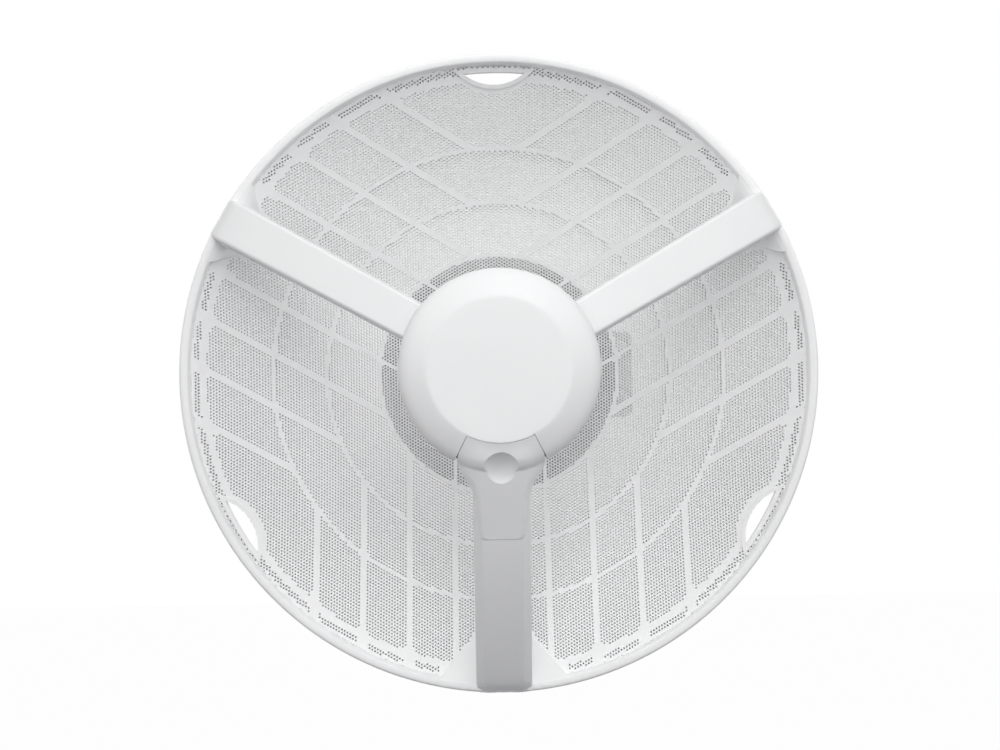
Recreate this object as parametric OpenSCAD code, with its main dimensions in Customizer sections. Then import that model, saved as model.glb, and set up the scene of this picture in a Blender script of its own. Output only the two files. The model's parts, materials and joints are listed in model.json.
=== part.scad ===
// Point-to-point microwave dish antenna on a two-axis pole mount.
// Millimetres. The pole runs along Z through the origin; the beam leaves along -Y; +Z is up.

/* [Pole clamp] */
// Diameter of the pole that the clamp closes on
pole_d = 38.1; // [34:0.1:44]
// Height of the clamp along the pole
clamp_h = 60; // [52:1:80]
// Metal in front of the pole, and behind it in the jaw
clamp_wall = 13; // [11:0.5:18]
// Width across the clamp, bolt rows included
clamp_w = 74; // [70:1:90]
// How far the jaw backs off
jaw_travel = 12; // [6:1:16]
// Diameter of the clamp bolts
clamp_bolt_d = 8; // [6:1:8]

/* [Two-axis bracket] */
// Sideways distance from the pole axis to the beam axis
dish_offset = 58; // [56:1:75]
// Distance from the pole axis forward to the azimuth axis
azimuth_gap = 21; // [20:1:30]
// Distance from the azimuth axis forward to the elevation axis
elevation_gap = 41; // [40:1:52]
// Plate thickness of the yoke ears
ear_t = 6; // [5:0.5:8]
// Lever arm of both fine adjusters
lever = 46; // [44:1:56]
// Swing of each axis either way, in degrees
swing = 15; // [8:1:15]
// Diameter of the adjuster screws
adjuster_d = 6; // [5:1:6]
// Diameter of the adjuster knobs
knob_d = 22; // [18:1:24]

/* [Reflector] */
// Outer diameter over the rim
dish_d = 413; // [380:1:460]
// Focal length
focal = 135; // [125:1:160]
// Wall thickness of the reflector, along the beam
skin_t = 2.4; // [1.8:0.1:3.5]
// Depth of the stiffening ribs behind the reflector
rib_depth = 6; // [3:0.5:10]
// Thickness of the stiffening ribs
rib_t = 2.6; // [1.6:0.1:4]
// Radius of the first ring rib
ring_r = 80.5; // [78:0.5:92]
// Spacing of the ring ribs
ring_pitch = 34.6; // [28:0.2:38]
// Offset of the first straight rib from its arm
rib_offset = 27; // [24:1:32]
// Spacing of the straight ribs
rib_pitch = 30.5; // [26:0.5:34]
// Width of each grip opening, across its widest line
grip_w = 7.5; // [5:0.5:10]

/* [Radio pod] */
// Diameter of the pod
pod_d = 125; // [115:1:140]
// Diameter of the flat front face
face_d = 90; // [84:1:96]
// Distance of the pod's front face from the reflector's vertex
pod_front = 172; // [168:1:190]
// Wall thickness of the pod mouldings
pod_wall = 2.5; // [2:0.1:3.5]
// Depth of the front cover
cover_h = 22; // [20:1:26]
// Depth of the rear housing
housing_h = 22; // [20:1:28]
// Half angle of the cable port
port_half = 26; // [22:1:28]

/* [Arms] */
// Width of the side arms at the pod
arm_w0 = 26.5; // [24:0.5:32]
// Width of the side arms at the rim
arm_w1 = 31; // [26:0.5:36]
// Width of the cable arm
cable_arm_w = 35; // [33:0.5:40]
// Depth of the arms' channel section
arm_h = 12; // [10:0.5:14]
// How far the arms bow forward of a straight line
arm_bow = 5; // [0:0.5:7]
// Wall thickness of the arms
arm_wall = 2.2; // [1.8:0.1:3]
// Distance from the beam axis to the foot of the port cover
port_reach = 105; // [98:1:120]

/* [Hidden] */
$fn = 48;

slip = 0.05;            // radial clearance of a turning fit
press = 0.02;           // radial clearance of a fixed fit
gap = 0.3;              // clearance between neighbouring mouldings
bite = 1;               // overlap that joins two shapes of one solid
pole_r = pole_d / 2 + 0.1;
split = 3;              // half of the gap between the clamp halves at rest
bolt_r = clamp_bolt_d / 2;
bolt_x = clamp_w / 2 - 9;
bolt_z = clamp_h / 2 - 12;
head_h = 4.5;
saddle_front = -(pole_r + clamp_wall);
washer_t = 1.6;
nut_h = 7;
thread_spare = 3;
bolt_end = pole_r + 8 + washer_t + nut_h + jaw_travel + thread_spare;
jaw_back = pole_r + 8;

// Azimuth axis
pivot_x = -dish_offset;
pivot_y = -azimuth_gap;
lug_r = 13;
lug_h = 32;
pivot_r = 5;
bush_r = 8;
flange_t = 1.5;
ear_z = lug_h / 2 + flange_t + 0.2;
yoke_top = ear_z + ear_t;

// Elevation axis
elev_y = pivot_y - elevation_gap;
ear_in = 17;                         // inner face of the yoke's side ears
ear_out = ear_in + ear_t;
tilt_in = ear_out + gap;
tilt_t = 5;
tilt_out = tilt_in + tilt_t;
wall_in = 20;                        // yoke wall, measured forward from the azimuth axis
wall_out = wall_in + ear_t;
hinge_r = 4;
hinge_boss = 12;
lock_r = 22;                         // lock bolts' distance from the elevation axis
lock_bolt_r = 3;
plate_gap = 14;                      // elevation axis to the tilt bracket's base plate
base_t = 4;
base_y = elev_y - plate_gap;
base_lo = lever + 9;
base_hi = 44;
tip_window = [11, 9];                // window for the elevation screw's tip, below and above its axis

// Fine adjusters: the screw sits halfway between the barrel's two extreme positions
screw_r = adjuster_d / 2;
screw_reach = lever * (1 + cos(swing)) / 2;
barrel_r = 7;
barrel_bore = screw_r + lever * (1 - cos(swing)) / 2 + 0.25;
cheek_in = 5;
cheek_t = 6;
cheek_r = 9;
collar_r = 4.8;
collar_t = 3;
knob_h = 12;
azimuth_lug_y = 4;                   // front face of the lug that carries the azimuth screw
elevation_lug_y = elev_y + lever * sin(swing) + barrel_r + collar_t + 2 * gap + 0.1;
adjuster_lug = 8;

// Reflector, in the beam frame: z runs along the beam from the vertex
rim_r = dish_d / 2;
vertex_gap = -base_y + base_t + 11;
plate_z = -11;                       // rear face of the back plate
plate_t = 4;
skin_r = rim_r - 8.5;
rim_z = bowl(rim_r) + 4;
grip_out = skin_r - 2;
grip_curve = 33.5;
arm_angles = [150, 30, 270];
side_angles = [150, 30];
grip_angles = [90, 210, 330];
plate_r = ring_r - rib_t / 2 - gap;
plate_screw_r = 60;
plate_screw_angles = [45:90:315];
dish_screw_r = 2.5;

// Radio pod, in the beam frame
pod_r = pod_d / 2;
face_r = face_d / 2;
seam_z = pod_front - cover_h;
housing_r = pod_r - 1.5;
housing_z = seam_z - housing_h;
port_r = face_r + gap;
alcove_floor = housing_z + 8;
seal_t = 1;
pod_screw_r = housing_r - 7;
pod_screw_angles = [0, 60, 120, 180, 233, 307];
spreader_t = 3;
board_z = housing_z + pod_wall + spreader_t + 7.5;
board_t = 1.6;
board_r = pod_screw_r - 4.5;
board_chord = (face_r - pod_wall) * cos(port_half + 3) - 1;
board_screw = [28, 24];
snout_r = 20;
snout_z = housing_z - 6;
jack_w = 16;
jack_h = 13.4;
jack_len = 18;
tube_r = 14;
board_screw_r = 1.25;
pod_bolt_r = 1.5;
jack_y = -(face_r + 4);

// Arms, in the beam frame: x runs outward along the arm
side_z0 = seam_z - 1.2;
cable_z0 = pod_front - 12;
foot_z = bowl(skin_r) - 0.6;         // seat of the arm's foot
foot_in = rim_r - 14.5;
foot_top = rim_z + 5.5;
foot_screw_x = rim_r - 8;
foot_screw_r = 2;
root_x = housing_r + gap;
lug_x = housing_r + 14;
root_screw_x = housing_r + 8;
root_screw_r = 1.5;
cable_gap = 17;                      // free width for the cable between the root lugs
side_wall = arm_wall + 1.6;          // wall of the cable arm's channel
cover_t = 2.5;
cover_seat = 1.8;                    // cable arm's edge below its front line, under the port cover
tongue_drop = 1.5;                   // underside of the tongue below the same line
clip_x = [for (t = [0.27, 0.63]) port_reach + t * (foot_in - port_reach)];
clip_w = 9;
cable_hole = 11;
dimple_x = 57;
dimple_z = pod_bevel((dimple_x - face_r) / (pod_r - face_r));

WHITE = "#eceeef";
PEARL = "#dfe1e2";
ZINC = "#b9bec2";
STEEL = "#9aa0a5";
BLACK = "#2a2b2d";
RUBBER = "#3a3b3d";
BOARD = "#1f6b46";
BRASS = "#c2a35a";

// Height of the paraboloid above its vertex
function bowl(r) = r * r / (4 * focal);
// Height of an arm's bowed front face at a distance x from the beam axis
function arm_front(x, z0) = let (t = arm_share(x)) z0 + (foot_top - z0) * t + 4 * arm_bow * t * (1 - t);
function arm_share(x) = (x - root_x) / (rim_r - 4 - root_x);
function arm_slope(x, z0) = (foot_top - z0 + 4 * arm_bow * (1 - 2 * arm_share(x))) / (rim_r - 4 - root_x);
// Points along an arm's front from x = a to x = b, moved back by d
function arm_line(a, b, z0, d) = [for (i = [0:7]) let (x = a + (b - a) * i / 7) [x, arm_front(x, z0) - d]];
function reversed(points) = [for (i = [len(points) - 1:-1:0]) points[i]];
// Where a line at the height y meets a circle of radius r
function chord_x(r, y) = sqrt(max(0, r * r - y * y));
// Front profile of the pod: flat, then a bevel that turns down into the side
function pod_bevel(u) = pod_front - 4.5 * u - 9.5 * (1 - sqrt(1 - u * u));

module beam() translate([-dish_offset, -vertex_gap, 0]) rotate([90, 0, 0]) children();
module azimuth_frame() translate([pivot_x, pivot_y, 0]) children();
module elevation_frame() translate([pivot_x, elev_y, 0]) children();
module along_x(h, r, center = true) rotate([0, 90, 0]) cylinder(h = h, r = r, center = center);
// A rod along Y from y = a forward or back to y = b
module along_y(a, b, r) translate([0, min(a, b), 0]) rotate([-90, 0, 0]) cylinder(h = abs(b - a), r = r);
module at_clamp_bolts() for (x = [-1, 1], z = [-1, 1]) translate([x * bolt_x, 0, z * bolt_z]) children();
module block(x0, x1, y0, y1, z0, z1) translate([x0, y0, z0]) cube([x1 - x0, y1 - y0, z1 - z0]);
// A 2D shape standing in the YZ plane, with thickness along X
module standing(x0, x1) translate([x0, 0, 0]) rotate([90, 0, 90]) linear_extrude(x1 - x0) children();
module both_sides() { children(); mirror([1, 0, 0]) children(); }
module wedge(half, r) polygon([[0, 0], [r * cos(90 + half), -r * sin(90 + half)],
                               [0, -1.4 * r], [r * cos(90 - half), -r * sin(90 - half)]]);

// ---------------------------------------------------------------- pole clamp

// Cast half that the pole seats in, with the azimuth lug and the arm for the azimuth screw
module pole_bracket() color(PEARL) {
    difference() {
        union() {
            saddle_block(saddle_front, -split);
            azimuth_frame() translate([0, 0, -lug_h / 2]) cylinder(h = lug_h, r = lug_r);
            block(pivot_x, -clamp_w / 2 + bite, pivot_y - 9, -split, -lug_h / 2, lug_h / 2);
            screw_arm();
        }
        cylinder(h = clamp_h + 2, r = pole_r, center = true, $fn = 96);
        at_clamp_bolts() {
            along_y(saddle_front - 1, 0, bolt_r + 0.2);
            along_y(saddle_front - 1, saddle_front + head_h, 9);
            block(-bolt_r - 0.2, bolt_r + 0.2, saddle_front, saddle_front + head_h + 3.2, -bolt_r - 0.2, bolt_r + 0.2);
        }
        azimuth_frame() cylinder(h = lug_h + 2, r = bush_r, center = true);
        translate([pivot_x - screw_reach, 0, 0])
            along_y(azimuth_lug_y - 1, azimuth_lug_y + adjuster_lug + 1, screw_r + slip);
        ground_hole();
    }
}

module saddle_block(y0, y1) {
    translate([0, y1, 0]) rotate([90, 0, 0]) linear_extrude(y1 - y0) rounded_rect(clamp_w, clamp_h, 6);
}

module rounded_rect(w, h, r) {
    square([w - 2 * r, h], center = true);
    square([w, h - 2 * r], center = true);
    for (x = [-1, 1], y = [-1, 1]) translate([x * (w / 2 - r), y * (h / 2 - r)]) circle(r);
}

// Angled arm from the azimuth lug back to the lug that carries the azimuth screw
module screw_arm() {
    lug_x0 = pivot_x - screw_reach;
    lug_y1 = azimuth_lug_y + adjuster_lug;
    translate([0, 0, -8]) linear_extrude(16) polygon([
        [pivot_x - 8, pivot_y + 6], [pivot_x + 10, pivot_y + 6], [pivot_x + 10, lug_y1],
        [lug_x0, lug_y1], [lug_x0, azimuth_lug_y], [pivot_x - 8, azimuth_lug_y]]);
    translate([lug_x0, 0, 0]) along_y(azimuth_lug_y, lug_y1, 8);
}

module ground_hole() translate([pivot_x + 1, azimuth_lug_y + adjuster_lug + 1, 0])
    rotate([90, 0, 0]) cylinder(h = 9, r = 2);

// Earth screw with its serrated washer, on the back of the bracket
module ground_screw() color(BRASS) {
    back = azimuth_lug_y + adjuster_lug;
    translate([pivot_x + 1, 0, 0]) {
        along_y(back - 7, back, 1.95);
        along_y(back, back + 1, 5);
        difference() {
            along_y(back + 1, back + 4, 3.6);
            block(-4, 4, back + 3, back + 5, -0.5, 0.5);
        }
    }
}

module azimuth_bushes() color(BRASS) azimuth_frame() for (m = [0, 1]) mirror([0, 0, m]) difference() {
    union() {
        translate([0, 0, lug_h / 2]) cylinder(h = flange_t, r = lug_r - 2);
        translate([0, 0, lug_h / 2 - 10]) cylinder(h = 10, r = bush_r - press);
    }
    translate([0, 0, lug_h / 2 - 11]) cylinder(h = 14, r = pivot_r + slip);
}

// Carriage bolts: domed head, square neck, plain shank
module clamp_bolts() color(STEEL) at_clamp_bolts() {
    along_y(saddle_front + head_h, bolt_end, bolt_r);
    block(-bolt_r, bolt_r, saddle_front + head_h - 0.5, saddle_front + head_h + 3, -bolt_r, bolt_r);
    intersection() {
        along_y(saddle_front + 0.6, saddle_front + head_h, 8.6);
        translate([0, saddle_front + 13.6, 0]) sphere(r = 13);
    }
}

module clamp_jaw() color(PEARL) difference() {
    saddle_block(split, jaw_back);
    cylinder(h = clamp_h + 2, r = pole_r, center = true, $fn = 96);
    at_clamp_bolts() along_y(split - 1, jaw_back + 1, bolt_r + 0.3);
    for (z = [-1, 1]) translate([0, jaw_back + 22, z * (bolt_z - 3)]) along_x(clamp_w - 40, 24);
}

module clamp_washers() color(STEEL) at_clamp_bolts() difference() {
    along_y(jaw_back, jaw_back + washer_t, 8);
    along_y(jaw_back - 1, jaw_back + washer_t + 1, bolt_r + 0.25);
}

module clamp_nuts() color(STEEL) at_clamp_bolts() difference() {
    along_y(jaw_back + washer_t, jaw_back + washer_t + nut_h, 7.4, $fn = 6);
    along_y(jaw_back, jaw_back + washer_t + nut_h + 1, bolt_r + slip);
}

// ---------------------------------------------------------------- azimuth stage

module azimuth_yoke() color(PEARL) difference() {
    union() {
        azimuth_frame() {
            for (m = [0, 1]) mirror([0, 0, m]) translate([0, 0, ear_z]) linear_extrude(ear_t) {
                circle(14);
                translate([-14, -wall_in - bite]) square([28, wall_in + bite]);
            }
            block(-ear_out, ear_out, -wall_out, -wall_in, -yoke_top, yoke_top);
            for (m = [0, 1]) mirror([0, 0, m]) translate([0, 0, cheek_in]) linear_extrude(cheek_t) lever_plan();
            elevation_lug();
        }
        elevation_frame() both_sides() standing(ear_in, ear_out) yoke_ear();
    }
    azimuth_frame() cylinder(h = 2 * yoke_top + 2, r = pivot_r, center = true);
    azimuth_frame() translate([0, 0, -yoke_top - washer_t - 9]) cylinder(h = washer_t + 9, r = 11);
    azimuth_frame() translate([-lever, 0, 0]) cylinder(h = 40, r = barrel_r + slip, center = true);
    elevation_frame() {
        along_x(2 * ear_out + 2, hinge_r);
        translate([0, 0, lock_r]) along_x(2 * ear_out + 2, lock_bolt_r);
    }
    azimuth_frame() translate([0, 0, -screw_reach])
        along_y(elevation_lug_y - pivot_y - 1, elevation_lug_y - pivot_y + adjuster_lug + 1, screw_r + slip);
}

// Plan of the lever that the azimuth screw moves
module lever_plan() {
    polygon([[-ear_in, -wall_in - 2], [-ear_out - 7, -wall_in - 2], [-lever - 8, -4],
             [-lever - 8, 3], [-lever + 6, 6], [-ear_out, -wall_in + 7], [-ear_in, -wall_in + 3]]);
    translate([-lever, 0]) circle(cheek_r);
}

// Hanger under the yoke that carries the elevation screw
module elevation_lug() {
    y0 = elevation_lug_y - pivot_y;
    block(-7, 7, y0, y0 + adjuster_lug, -screw_reach, -yoke_top + bite);
    translate([0, 0, -screw_reach]) along_y(y0, y0 + adjuster_lug, 8);
}

// Side ear of the yoke, in (y, z) about the elevation axis
module yoke_ear() {
    circle(hinge_boss);
    translate([0, lock_r]) circle(7);
    translate([-7, 0]) square([8, lock_r]);
    translate([0, -hinge_boss]) square([elevation_gap - wall_out + bite, hinge_boss + yoke_top]);
}

module azimuth_pivot_bolt() color(STEEL) azimuth_frame() {
    top = yoke_top + washer_t;
    translate([0, 0, -top - 8.3]) cylinder(h = 2 * top + 8.3, r = pivot_r - press);
    translate([0, 0, top]) cylinder(h = 6.4, r = 9.4, $fn = 6);
}

module azimuth_pivot_nut() color(STEEL) azimuth_frame() translate([0, 0, -yoke_top - washer_t - 8])
    difference() {
        union() {
            translate([0, 0, 1.6]) cylinder(h = 6.4, r = 9.4, $fn = 6);
            cylinder(h = 2, r = 7.4);
        }
        translate([0, 0, -1]) cylinder(h = 10, r = pivot_r + 0.01);
    }

module azimuth_washers() color(STEEL) azimuth_frame() for (z = [yoke_top, -yoke_top - washer_t])
    translate([0, 0, z]) difference() {
        cylinder(h = washer_t, r = 10);
        translate([0, 0, -1]) cylinder(h = washer_t + 2, r = pivot_r + 0.25);
    }

// An adjuster screw along Y: shank, collar in front of its lug; its tip is at y = tip
module adjuster_screw(tip, lug_y) {
    along_y(tip, lug_y + adjuster_lug + gap + knob_h - 2, screw_r);
    along_y(lug_y - gap - collar_t, lug_y - gap, collar_r);
}

// A six-lobed hand knob around its screw
module adjuster_knob(lug_y) {
    y0 = lug_y + adjuster_lug + gap;
    difference() {
        union() {
            along_y(y0, y0 + 3, knob_d / 2 - 5);
            along_y(y0 + 2.5, y0 + knob_h, knob_d / 2);
        }
        for (a = [0:60:300]) rotate([0, a, 0]) translate([knob_d / 2 + 2.2, 0, 0]) along_y(y0 + 2, y0 + knob_h + 1, 4.4);
        along_y(y0 - 1, y0 + knob_h - 2, screw_r + press);
    }
}

module azimuth_screw() color(STEEL) translate([pivot_x - screw_reach, 0, 0])
    adjuster_screw(pivot_y - lever * sin(swing) - barrel_r - 6, azimuth_lug_y);
module azimuth_knob() color(BLACK) translate([pivot_x - screw_reach, 0, 0]) adjuster_knob(azimuth_lug_y);

// Cross barrel that the screw runs through, turning in the lever
module azimuth_barrel() color(BRASS) azimuth_frame() translate([-lever, 0, 0]) difference() {
    cylinder(h = 2 * (cheek_in + cheek_t), r = barrel_r, center = true);
    along_y(-barrel_r - 1, barrel_r + 1, barrel_bore);
}

// ---------------------------------------------------------------- elevation stage

module elevation_screw() color(STEEL) translate([pivot_x, 0, -screw_reach])
    adjuster_screw(elev_y - lever * sin(swing) - barrel_r + 4, elevation_lug_y);
module elevation_knob() color(BLACK) translate([pivot_x, 0, -screw_reach]) adjuster_knob(elevation_lug_y);

module elevation_barrel() color(BRASS) elevation_frame() translate([0, 0, -lever]) difference() {
    along_x(2 * (cheek_in + cheek_t), barrel_r);
    along_y(-barrel_r - 1, barrel_r + 1, barrel_bore);
}

module elevation_pivot_bolts() color(STEEL) elevation_frame() both_sides() {
    translate([ear_in - 8, 0, 0]) along_x(tilt_out + gap + 8 - ear_in, hinge_r - slip, false);
    translate([tilt_out + gap, 0, 0]) along_x(5.3, 7.4, false, $fn = 6);
}

module elevation_pivot_nuts() color(STEEL) elevation_frame() both_sides() difference() {
    translate([ear_in - 6.5, 0, 0]) rotate([0, 90, 0]) cylinder(h = 6.5, r = 7.4, $fn = 6);
    translate([ear_in - 8, 0, 0]) along_x(10, hinge_r - slip + press, false);
}

module elevation_lock_bolts() color(STEEL) elevation_frame() translate([0, 0, lock_r]) both_sides() {
    translate([ear_in - 6, 0, 0]) along_x(tilt_out + gap + 6 - ear_in, lock_bolt_r - slip, false);
    translate([tilt_out + gap, 0, 0]) along_x(washer_t, 6, false);
    translate([tilt_out + gap + washer_t, 0, 0]) rotate([0, 90, 0]) cylinder(h = 4, r = 5.6, $fn = 6);
}

module elevation_lock_nuts() color(STEEL) elevation_frame() translate([0, 0, lock_r]) both_sides() difference() {
    translate([ear_in - 5, 0, 0]) rotate([0, 90, 0]) cylinder(h = 5, r = 5.6, $fn = 6);
    translate([ear_in - 6, 0, 0]) along_x(8, lock_bolt_r - slip + press, false);
}

module tilt_bracket() color(PEARL) elevation_frame() difference() {
    union() {
        block(-tilt_out, tilt_out, -plate_gap - base_t, -plate_gap, -base_lo, base_hi);
        both_sides() {
            standing(tilt_in, tilt_out) tilt_ear();
            standing(cheek_in, cheek_in + cheek_t) {
                translate([0, -lever]) circle(cheek_r);
                translate([-plate_gap - bite, -lever - cheek_r]) square([plate_gap + bite, 2 * cheek_r]);
            }
        }
    }
    along_x(2 * tilt_out + 2, hinge_r + slip);
    translate([0, 0, -lever]) along_x(2 * (cheek_in + cheek_t) + 2, barrel_r + slip);
    both_sides() standing(tilt_in - 1, tilt_out + 1) lock_slot();
    at_tilt_screws() along_y(-plate_gap - base_t - 1, -plate_gap + 1, 3);
    block(-cheek_in, cheek_in, -plate_gap - base_t - 1, -plate_gap + 1, -screw_reach - tip_window[0], -screw_reach + tip_window[1]);
}

// Ear of the tilt bracket, in (y, z) about the elevation axis, with the fan for the lock slot
module tilt_ear() {
    circle(hinge_boss + 1);
    translate([-plate_gap - bite, -hinge_boss - 1]) square([plate_gap + bite, lock_r + 9 + hinge_boss]);
    intersection() {
        circle(lock_r + 9);
        polygon([[0, 0], [-60 * tan(swing + 14), 60], [60 * tan(swing + 14), 60]]);
    }
}

// Arc slot that the lock bolt runs in
module lock_slot() intersection() {
    difference() {
        circle(lock_r + lock_bolt_r + 0.3);
        circle(lock_r - lock_bolt_r - 0.3);
    }
    polygon([[0, 0], [-60 * tan(swing + 9), 60], [60 * tan(swing + 9), 60]]);
}

module at_tilt_screws() for (x = [-1, 1], z = [36, -30]) translate([x * 18, 0, z]) children();

module tilt_bracket_screws() color(STEEL) elevation_frame() at_tilt_screws() {
    along_y(-plate_gap - base_t - plate_t + 0.5, -plate_gap, 2.95);
    difference() {
        along_y(-plate_gap, -plate_gap + 4, 5);
        along_y(-plate_gap + 1.5, -plate_gap + 5, 2.9, $fn = 6);
    }
}

// ---------------------------------------------------------------- reflector and back plate

module back_plate() color(PEARL) beam() difference() {
    union() {
        translate([0, 0, plate_z]) cylinder(h = plate_t, r = plate_r, $fn = 128);
        difference() {
            translate([0, 0, plate_z]) cylinder(h = bowl(plate_r - 3) - skin_t - gap - plate_z, r = plate_r, $fn = 128);
            translate([0, 0, plate_z - 1]) cylinder(h = 80, r = plate_r - 3, $fn = 128);
        }
    }
    for (a = plate_screw_angles) rotate(a) translate([plate_screw_r, 0, plate_z - 1]) cylinder(h = plate_t + 2, r = dish_screw_r + 0.3);
    for (x = [-1, 1], y = [36, -30]) translate([x * 18, y, plate_z - 1]) cylinder(h = plate_t + 2, r = 3);
    translate([-cheek_in, -screw_reach - tip_window[0], plate_z - 1])
        cube([2 * cheek_in, tip_window[0] + tip_window[1], plate_t + 2]);
}

module back_plate_screws() color(STEEL) beam() for (a = plate_screw_angles) rotate(a) translate([plate_screw_r, 0, plate_z]) {
    cylinder(h = plate_t + 6, r = dish_screw_r - press);
    difference() {
        translate([0, 0, -3]) cylinder(h = 3, r = 4.6);
        translate([0, 0, -4]) cylinder(h = 2.5, r = 2.3, $fn = 6);
    }
}

module reflector() color(WHITE) beam() difference() {
    union() {
        difference() {
            union() {
                rotate_extrude($fn = 180) dish_section();
                for (a = arm_angles) rotate(a) gusset();
                for (a = grip_angles) rotate(a) grip_lip();
            }
            for (a = grip_angles) rotate(a) translate([0, 0, 20]) linear_extrude(90) grip_plan(0);
        }
        intersection() {
            rib_band();
            translate([0, 0, -10]) linear_extrude(rim_z) rib_plan();
        }
        for (a = plate_screw_angles) rotate(a) translate([plate_screw_r, 0, plate_z + plate_t])
            cylinder(h = bowl(plate_screw_r) - plate_z - plate_t - 1, r = 6);
    }
    for (i = [0:2]) rotate(arm_angles[i]) foot_pocket(i == 2 ? cable_arm_w : arm_w1);
    for (a = plate_screw_angles) rotate(a) translate([plate_screw_r, 0, plate_z]) cylinder(h = plate_t + 6.5, r = dish_screw_r);
}

// Half section of the bowl and its rolled rim
module dish_section() {
    steps = 12;
    front = [for (i = [0:steps]) [skin_r * i / steps, bowl(skin_r * i / steps)]];
    back = [for (i = [steps:-1:0]) [skin_r * i / steps, bowl(skin_r * i / steps) - skin_t]];
    lip = [[rim_r - 6.8, rim_z - 2.5], [rim_r - 4.8, rim_z - 0.4], [rim_r - 2.6, rim_z], [rim_r - 0.7, rim_z - 1.2],
           [rim_r, rim_z - 3.5], [rim_r, rim_z - 18], [rim_r - 2.2, rim_z - 18], [rim_r - 2.2, rim_z - 4],
           [rim_r - 3.2, rim_z - 2.6], [rim_r - 4.4, rim_z - 3], [rim_r - 5.6, rim_z - 7.5], [rim_r - 6.4, bowl(skin_r) - skin_t - 0.6]];
    polygon(concat(front, lip, back));
}

// Ramp that fills the corner between bowl and rim beside each arm's foot
module gusset() intersection() {
    rotate_extrude($fn = 180) polygon([
        [rim_r - 36, bowl(rim_r - 36) - 0.6], [rim_r - 24, rim_z - 21], [rim_r - 12, rim_z - 7], [rim_r - 5, rim_z - 1],
        [rim_r - 5, foot_z - 6], [rim_r - 20, bowl(rim_r - 20) - skin_t - 3], [rim_r - 36, bowl(rim_r - 36) - skin_t]]);
    linear_extrude(rim_z + 10) for (m = [0, 1]) mirror([0, m]) polygon([
        [rim_r - 37, 0], [rim_r - 37, cable_arm_w / 2 - 3], [rim_r - 26, cable_arm_w / 2 + 7],
        [rim_r - 14, cable_arm_w / 2 + 19], [rim_r - 4, cable_arm_w / 2 + 30], [rim_r, 0]]);
}

module foot_pocket(w) {
    translate([foot_in - gap, -w / 2 - gap, foot_z]) cube([40, w + 2 * gap, 60]);
    at_foot_screws(w) {
        translate([0, 0, -20]) cylinder(h = 30, r = foot_screw_r + 0.1);
        translate([0, 0, -27]) cylinder(h = 20, r = 4.3);
    }
}

// Lens-shaped grip opening near the rim, grown by d; the reflector is turned so that x points at it
module grip_plan(d) intersection() {
    circle(grip_out + d, $fn = 180);
    translate([grip_out - grip_w + grip_curve, 0]) circle(grip_curve + d, $fn = 96);
}

module grip_lip() intersection() {
    rotate_extrude($fn = 180) polygon([
        [grip_out - 16, bowl(grip_out - 16) - 0.5], [grip_out - 16, bowl(grip_out - 16) + 1], [grip_out + 1.6, bowl(grip_out + 1.6) + 1.2],
        [grip_out + 1.6, bowl(grip_out + 1.6) - 0.5]]);
    translate([0, 0, 20]) linear_extrude(90) grip_plan(3);
}

// Plan of the ribs: rings, and straight ribs beside each arm that start one ring further out each time
module rib_plan() {
    for (k = [0:2]) difference() {
        circle(ring_r + k * ring_pitch + rib_t / 2, $fn = 128);
        circle(ring_r + k * ring_pitch - rib_t / 2, $fn = 128);
    }
    for (a = arm_angles, s = [-1, 1], k = [0:3]) rotate(a) {
        y = rib_offset + k * rib_pitch;
        inner = chord_x(ring_r + max(0, k - 1) * ring_pitch, y);
        translate([inner, s * y - rib_t / 2]) square([chord_x(skin_r - 5, y) - inner, rib_t]);
    }
}

// Band behind the bowl that the ribs fill
module rib_band() rotate_extrude($fn = 180) {
    steps = 6;
    r0 = ring_r - rib_t;
    r1 = skin_r - 4;
    polygon(concat(
        [for (i = [0:steps]) let (r = r0 + (r1 - r0) * i / steps) [r, bowl(r) - skin_t / 2]],
        [for (i = [steps:-1:0]) let (r = r0 + (r1 - r0) * i / steps) [r, bowl(r) - skin_t - rib_depth]]));
}

// ---------------------------------------------------------------- arms

// Side profile of an arm in (x, z)
module arm_profile(z0) polygon(concat(
    [[root_x, z0]], arm_line(lug_x, foot_in, z0, 0),
    [[rim_r - 4, foot_top], [rim_r - 1, foot_top - 3.4], [rim_r + 0.4, foot_top - 9], [rim_r + 0.4, foot_z], [foot_in, foot_z]],
    reversed(arm_line(lug_x, foot_in, z0, arm_h)), [[root_x, z0 - arm_h]]));

// Inside of the channel, open to the back, from x = start to the foot
module arm_hollow(z0, start) polygon(concat(
    arm_line(start, foot_in - 2, z0, arm_wall), reversed(arm_line(start, foot_in - 2, z0, arm_h + 12))));

module across(w) rotate([90, 0, 0]) linear_extrude(w, center = true) children();

// Plan of an arm with a chamfered end, w0 wide at the pod and w1 at the rim, shrunk by d
module arm_plan(w0, w1, d) polygon([
    [root_x - 2, -w0 / 2 + d], [rim_r - 3, -w1 / 2 + d], [rim_r + 2, -w1 / 2 + 5 + d],
    [rim_r + 2, w1 / 2 - 5 - d], [rim_r - 3, w1 / 2 - d], [root_x - 2, w0 / 2 - d]]);

module arm_body(z0, w0, w1) intersection() {
    across(w1 + 20) arm_profile(z0);
    linear_extrude(pod_front + 10) arm_plan(w0, w1, 0);
}

module arm_channel(z0, w0, w1, wall, start) intersection() {
    across(w1 + 20) arm_hollow(z0, start);
    linear_extrude(pod_front + 10) arm_plan(w0, w1, wall);
}

module at_foot_screws(w) for (s = [-1, 1]) translate([foot_screw_x, s * (w / 2 - 6), foot_z]) children();

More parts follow.
